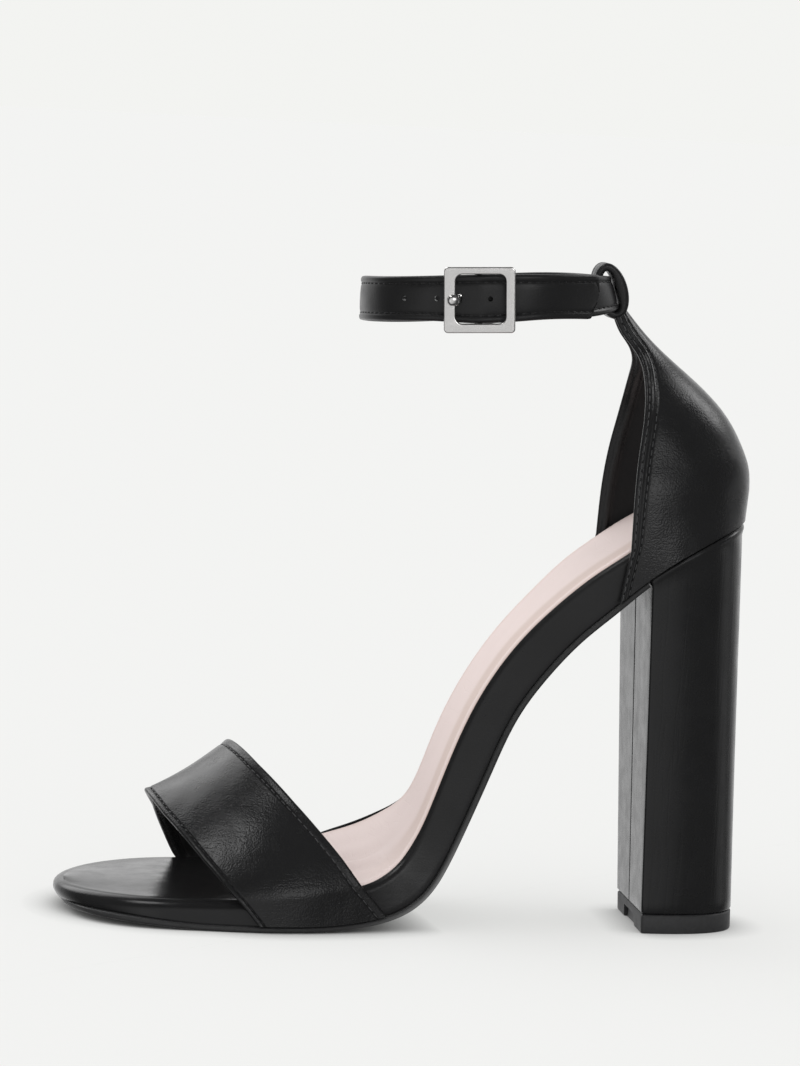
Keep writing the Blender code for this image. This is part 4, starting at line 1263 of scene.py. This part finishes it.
# %% Heel top piece
LIFT_PROUD = -0.1
LIFT_PROFILE = ((0.0, 0.45), (0.12, 0.15), (0.45, 0.0), (TOP_PIECE_THICK - 0.6, 0.0),
                (TOP_PIECE_THICK - 0.25, 0.2), (TOP_PIECE_THICK, 0.8))
NOTCH_HALF_WIDTH, NOTCH_HEIGHT, NOTCH_DEPTH = 8.6, 3.6, 1.1
NOTCH_BELOW, NOTCH_BEFORE = -1.0, 3.0


def cut_with(piece, cutter):
    """Take the cutter's volume out of a piece and drop the cutter."""
    cutter_mesh = cutter.data
    change = piece.modifiers.new("cut", "BOOLEAN")
    change.operation = "DIFFERENCE"
    change.object = cutter
    bpy.context.view_layer.update()
    graph = bpy.context.evaluated_depsgraph_get()
    mesh = bpy.data.meshes.new_from_object(piece.evaluated_get(graph))
    piece.modifiers.remove(change)
    piece.data = mesh
    mesh.set_sharp_from_angle(angle=math.radians(SHARP_DEG))
    bpy.data.objects.remove(cutter)
    bpy.data.meshes.remove(cutter_mesh)


def cutter_block(rings):
    """Closed block through rings of points, for cutting."""
    block = bpy.data.objects.new("cutter", mended(closed_mesh("cutter", rings)))
    bpy.context.scene.collection.objects.link(block)
    return block


lift_rings = [both_sides(heel_ring(np.full(HALF_COUNT, z), LIFT_PROUD - ease, seam=False))
              for z, ease in LIFT_PROFILE]
lift = shoe_piece("heel_lift", lift_rings, [LIFT_RUBBER], ["heel_top_piece"])
notch_corners = ((-NOTCH_HALF_WIDTH, NOTCH_BELOW), (NOTCH_HALF_WIDTH, NOTCH_BELOW),
                 (NOTCH_HALF_WIDTH, NOTCH_HEIGHT), (-NOTCH_HALF_WIDTH, NOTCH_HEIGHT))
notch = [[(breast_x(0.0) + behind, y, z) for y, z in notch_corners]
         for behind in (-NOTCH_BEFORE, NOTCH_DEPTH)]
cut_with(lift, cutter_block(notch))
print("notch cut, faces now:", len(lift.data.polygons))

# %% [markdown]
# The ankle strap is one long strip: from the buckle's bar round the heel and the inner ankle
# to the front, under the buckle and back over itself to its tail. Its table gives the middle
# of the strap at a few places, its width there, and how far its top leans in towards the leg.

# %% Strap's route
STRAP = Table(
    ("x", "y", "z", "width", "lean"),
    {
        "bar end": (16.9, -27.7, 182.9, 14.2, 0.0),
        "outer ankle": (33.0, -27.1, 184.3, 12.4, 0.0),
        "rear turn": (49.0, -18.3, 184.9, 12.0, 8.0),
        "loop": (58.5, 0.0, 185.4, 10.0, 18.0),
        "inner rear turn": (49.0, 19.0, 183.9, 12.4, 8.0),
        "inner ankle": (30.0, 28.6, 182.0, 13.0, 0.0),
        "inner front": (8.0, 28.0, 179.8, 13.0, 0.0),
        "front turn": (-8.9, 17.0, 179.5, 12.7, 0.0),
        "front": (-14.2, 0.0, 180.7, 12.7, 0.0),
        "outer front turn": (-10.2, -18.6, 181.6, 12.7, 0.0),
        "under buckle": (3.4, -28.8, 182.7, 13.0, 0.0),
        "buckle": (14.6, -30.1, 183.1, 13.9, 0.0),
        "tail": (33.0, -29.6, 184.4, 13.0, 0.0),
        "tail tip": (50.9, -19.4, 184.8, 13.0, 0.0),
    },
    ("x", "y", "z"))
TANGENT_STEP = 0.5


def strap_frame(at):
    """Centre, direction, outward normal, upward direction and width of the strap at places."""
    def spot(place):
        return np.stack([STRAP(column, place) for column in ("x", "y", "z")], -1)

    along = unit(spot(at + TANGENT_STEP) - spot(at - TANGENT_STEP))
    outward = unit(np.cross(along, (0.0, 0.0, 1.0)))
    lean = np.radians(STRAP("lean", at))[..., None]
    up = np.cross(outward, along)
    tilted_up = up * np.cos(lean) - outward * np.sin(lean)
    return spot(at), along, outward * np.cos(lean) + up * np.sin(lean), tilted_up, STRAP("width", at)


BUCKLE_AT = STRAP.knot("buckle")
print("strap is", STRAP.knots[-1].round(0), "mm long, buckled at", BUCKLE_AT.round(0))

# %% [markdown]
# The strap is two thin leathers sewn together over a filler, so its edges are round rolls with
# a stitched groove inside. Its section is drawn as offsets from the two edges, which keep
# their rolls where the strap is narrow. The strap swells a little in the buckle's window, and
# its tail is cut at a slant with round corners.

# %% Ankle strap
STRAP_STEP = 1.3
STRAP_GROOVE = 2.2
FULL_HALF_WIDTH = 6.5
OUTER_FACE = ((0.0, 0.0), (0.08, 0.4), (0.3, 0.68), (0.7, 0.86), (1.2, 0.9), (1.65, 0.78),
              (1.95, 0.6), (STRAP_GROOVE, 0.5), (2.45, 0.6), (2.8, 0.74), (3.6, 0.84), (5.0, 0.9))
INNER_FACE = ((0.08, -0.4), (0.35, -0.7), (0.9, -0.84), (3.0, -0.84), (5.0, -0.84))
TIP_LENGTH, TIP_LEAST = 1.6, 0.04
TAIL_SLANT, SLANT_FADE = 0.28, 3.0
WINDOW_BULGE, WINDOW_SPREAD, WINDOW_AFTER = 0.6, 3.6, 1.0


def strap_section(width):
    """Points round the strap as (up, outward), for each width."""
    outer = np.array(OUTER_FACE)
    inner = np.array(INNER_FACE)
    half = width[:, None] / 2
    scale = np.minimum(half / FULL_HALF_WIDTH, 1.0)
    rows = [(-half + outer[:, 0] * scale, outer[:, 1]),
            (half - outer[::-1, 0] * scale, outer[::-1, 1]),
            (half - inner[:, 0] * scale, inner[:, 1]),
            (-half + inner[::-1, 0] * scale, inner[::-1, 1])]
    ups = np.concatenate([up for up, _ in rows], 1)
    outs = np.concatenate([np.broadcast_to(out, up.shape) for up, out in rows], 1)
    return ups, outs


STRAP_END = STRAP.knots[-1]
strap_at = np.linspace(0.0, STRAP_END, round(STRAP_END / STRAP_STEP))
centre, along, outward, up, width = strap_frame(strap_at)
to_tip = np.clip((STRAP_END - strap_at) / TIP_LENGTH, TIP_LEAST, 1.0)
bulge = WINDOW_BULGE * np.exp(-((strap_at - BUCKLE_AT - WINDOW_AFTER) / WINDOW_SPREAD) ** 2)
centre = centre + outward * bulge[:, None]
ups, outs = strap_section(width * np.sqrt(1 - (1 - to_tip) ** 2))
slant = TAIL_SLANT * np.exp(-(STRAP_END - strap_at) / SLANT_FADE)
strap_rings = centre[:, None] + up[:, None] * ups[..., None] + outward[:, None] * outs[..., None]
strap_rings += along[:, None] * (slant[:, None] * ups)[..., None]
strap = shoe_piece("ankle_strap_leather", strap_rings, [STRAP_LEATHER],
                   ["ankle_strap"])

# %% [markdown]
# The strap's holes are punched through it, and the prong stands in a wider one. They are cut
# as real holes with the same Boolean as the notch. The two seams lie in the section's grooves.

# %% Strap holes and seams
HOLE_PLACES = (184.7, 194.1, 209.0)
HOLE_RADIUS = 0.75
HOLE_BELOW, HOLE_ABOVE = 1.4, 3.0
PRONG_HOLE_ALONG = -5.7
PRONG_HOLE_HALF = (1.6, 2.0)
SEAM_START = 2.0


def hole_cutter(at, half_along, half_up, steps=12):
    """Oval pin through the strap at a place along it."""
    spot, along, outward, up, _ = strap_frame(np.array([at]))
    turn = np.linspace(0.0, 2 * math.pi, steps, endpoint=False)[:, None]
    ring = spot + along * half_along * np.cos(turn) + up * half_up * np.sin(turn)
    return cutter_block([ring - outward * HOLE_BELOW, ring + outward * HOLE_ABOVE])


for place in HOLE_PLACES:
    cut_with(strap, hole_cutter(place, HOLE_RADIUS, HOLE_RADIUS))
cut_with(strap, hole_cutter(BUCKLE_AT + PRONG_HOLE_ALONG, *PRONG_HOLE_HALF))
sewn_part = (strap_at > SEAM_START) & (strap_at < STRAP_END - TIP_LENGTH)
groove = [place for place, _ in OUTER_FACE].index(STRAP_GROOVE)
mirrored_groove = 2 * len(OUTER_FACE) - 1 - groove
for name, column in (("strap_lower_stitches", groove), ("strap_upper_stitches", mirrored_groove)):
    sewn(name, strap_rings[sewn_part, column], outward[sewn_part], STRAP_LEATHER)
print("strap holes:", len(HOLE_PLACES), "and one for the prong")

# %% [markdown]
# The loop is a narrow leather band sewn into the tab of the heel cup. The strap runs through
# it. Its section is a soft flat tube, swept round an oval that leans with the tab. Half of the
# section is listed, from the middle of its outer face to the middle of its inner one, and the
# rest mirrors it. At the rear the loop is filled inwards, where the tab is sewn in.

# %% Strap loop
LOOP_CENTRE = (58.0, 0.0, 186.0)
LOOP_HALF_HEIGHT, LOOP_HALF_DEPTH, LOOP_LEAN = 8.4, 4.8, math.radians(18.0)
LOOP_WALL, LOOP_REAR_FILL, LOOP_STEPS = 2.4, 1.0, 72
LOOP_HALF = ((0.0, 0.0), (1.2, 0.0), (2.2, 0.12), (2.5, 0.22), (3.0, 0.02), (3.6, 0.0), (4.15, 0.2),
             (4.44, 0.62), (4.5, 1.2), (4.4, 1.8), (4.0, 2.3), (2.0, LOOP_WALL), (0.0, LOOP_WALL))
loop_section = LOOP_HALF + tuple((-y, wall) for y, wall in LOOP_HALF[-2:0:-1])
across, wall = np.array(loop_section).T
tall = np.array([-math.sin(LOOP_LEAN), 0.0, math.cos(LOOP_LEAN)])
deep = np.array([math.cos(LOOP_LEAN), 0.0, math.sin(LOOP_LEAN)])
turns = np.linspace(0.0, 2 * math.pi, LOOP_STEPS, endpoint=False)[:, None]
inward = wall * (1 + LOOP_REAR_FILL / LOOP_WALL * np.maximum(np.sin(turns), 0.0) ** 2)
loop_rings = np.array(LOOP_CENTRE) + across[None, :, None] * (0.0, 1.0, 0.0)
loop_rings = loop_rings + tall * ((LOOP_HALF_HEIGHT - inward) * np.cos(turns))[..., None]
loop_rings = loop_rings + deep * ((LOOP_HALF_DEPTH - inward) * np.sin(turns))[..., None]
shoe_piece("strap_loop_leather", loop_rings, [STRAP_LEATHER], ["strap_loop"],
           closed_rows=True)

# %% [markdown]
# The buckle is a square frame that lies on the strap, with a centre bar behind it that the
# strap's end is sewn round. Cast frames have eased edges, so the section is drawn as a
# rounded bar and swept round two rounded rectangles, the outline and the window.

# %% Buckle frame
STRAP_THICK = 1.7
BUCKLE_HALF_WIDTH, BUCKLE_HALF_HEIGHT, BUCKLE_DEPTH = 10.2, 9.4, 2.0
BUCKLE_LIFT, BUCKLE_DROP, BUCKLE_SHIFT = 0.6, 0.2, 0.6
BUCKLE_CORNER, WINDOW_CORNER = 1.2, 2.0
LEFT_BAR, RIGHT_BAR, TOP_BAR, BOTTOM_BAR = 3.3, 2.7, 2.1, 2.7
spot, along, outward, up, _ = (value[0] for value in strap_frame(np.array([BUCKLE_AT])))
buckle_middle = spot - up * BUCKLE_DROP + along * BUCKLE_SHIFT


def on_buckle(a, z, out):
    """Point at distances along the strap, up across it and out from it."""
    return buckle_middle + along * a + up * z + outward * out


def rounded_rectangle(left, right, low, high, corner, steps=8):
    """Corner arcs of a rectangle, as (along, up) pairs."""
    outline = []
    centres = ((right - corner, high - corner), (left + corner, high - corner),
               (left + corner, low + corner), (right - corner, low + corner))
    for quarter, (x, y) in enumerate(centres):
        for i in range(steps + 1):
            turn = math.pi / 2 * (quarter + i / steps)
            outline.append((x + corner * math.cos(turn), y + corner * math.sin(turn)))
    return outline


def frame_outline(ease):
    """Outline of the frame, drawn in by ease."""
    return rounded_rectangle(-BUCKLE_HALF_WIDTH + ease, BUCKLE_HALF_WIDTH - ease,
                             -BUCKLE_HALF_HEIGHT + ease, BUCKLE_HALF_HEIGHT - ease,
                             BUCKLE_CORNER - ease)


def window_outline(ease):
    """Outline of the window, widened by ease."""
    return rounded_rectangle(-BUCKLE_HALF_WIDTH + LEFT_BAR - ease,
                             BUCKLE_HALF_WIDTH - RIGHT_BAR + ease,
                             -BUCKLE_HALF_HEIGHT + BOTTOM_BAR - ease,
                             BUCKLE_HALF_HEIGHT - TOP_BAR + ease, WINDOW_CORNER + ease)


FRAME_BACK = STRAP_THICK / 2 + BUCKLE_LIFT
FRAME_SECTION = ((0.2, 0.0), (0.0, 0.25), (0.0, 1.6), (0.05, 1.8), (0.16, 1.93), (0.32, 1.985),
                 (0.5, BUCKLE_DEPTH))
outlines = [(frame_outline(ease), out) for ease, out in FRAME_SECTION]
outlines += [(window_outline(ease), out) for ease, out in FRAME_SECTION[::-1]]
frame_columns = [[on_buckle(a, z, FRAME_BACK + out) for a, z in line] for line, out in outlines]
shoe_piece("buckle_frame_metal", np.array(frame_columns).transpose(1, 0, 2), [METAL],
           ["buckle_frame"], closed_rows=True)

# %% [markdown]
# The centre bar and the prong are oval wires. A wire is a section swept along a line, with
# its rings turned to follow the line. The prong comes from the bar through the strap's hole
# and hooks over the front bar of the frame, and its tip is rounded off.

# %% Centre bar and prong
def swept_wire(line, side, half_wide, half_thick, steps=14):
    """Rings of an oval wire; side is the direction that stays level across it."""
    line = np.array(line)
    ahead = unit(np.gradient(line, axis=0))
    thick = unit(np.cross(ahead, side))
    turn = np.linspace(0.0, 2 * math.pi, steps, endpoint=False)[None, :, None]
    wide = np.broadcast_to(half_wide, len(line))[:, None, None]
    deep = np.broadcast_to(half_thick, len(line))[:, None, None]
    return line[:, None] + side * wide * np.cos(turn) + thick[:, None] * deep * np.sin(turn)


def smooth_line(corners, count):
    """Smooth line through a few points."""
    corners = np.array(corners)
    runs = run_lengths(corners)
    places = np.linspace(0.0, runs[-1], count)
    return np.column_stack([spline(runs, corners[:, axis])(places) for axis in range(3)])


WIRE_RINGS = 60
BAR_OUT = -STRAP_THICK / 2 - 1.1
BAR_HALF_WIDE, WIRE_HALF_THICK = 1.0, 0.62
bar_half = [(8.05, 1.9), (8.1, 0.4), (7.9, -1.3), (6.9, BAR_OUT), (3.0, BAR_OUT)]
bar_corners = [(-z, out) for z, out in bar_half] + bar_half[::-1]
bar_line = smooth_line([on_buckle(0.0, z, out) for z, out in bar_corners], WIRE_RINGS)
shoe_piece("buckle_centre_bar", swept_wire(bar_line, along, BAR_HALF_WIDE, WIRE_HALF_THICK), [METAL])

PRONG_HALF_WIDE, PRONG_ENDS, PRONG_LEAST = 1.5, 9.0, 0.02
prong_corners = [(-1.3, -1.75), (-3.2, -1.8), (-4.9, -1.5), (-5.7, -0.2), (-5.8, 1.6), (-6.0, 3.2),
                 (-6.6, 4.1), (-7.6, 4.42), (-8.6, 4.4), (-9.3, 4.1)]
prong_line = smooth_line([on_buckle(a, 0.0, out) for a, out in prong_corners], WIRE_RINGS)
from_start = np.clip(np.linspace(0.0, PRONG_ENDS, WIRE_RINGS), 0.0, 1.0)
to_end = from_start * from_start[::-1]
rounded = np.sqrt(np.clip(1 - (1 - to_end) ** 2, PRONG_LEAST, 1.0))
prong_rings = swept_wire(prong_line, up, PRONG_HALF_WIDE * rounded, WIRE_HALF_THICK * rounded)
shoe_piece("buckle_prong_metal", prong_rings, [METAL], ["buckle_prong"])

# %% [markdown]
# Last, the scene is brought up to date.

# %% Bring the scene up to date
bpy.context.view_layer.update()
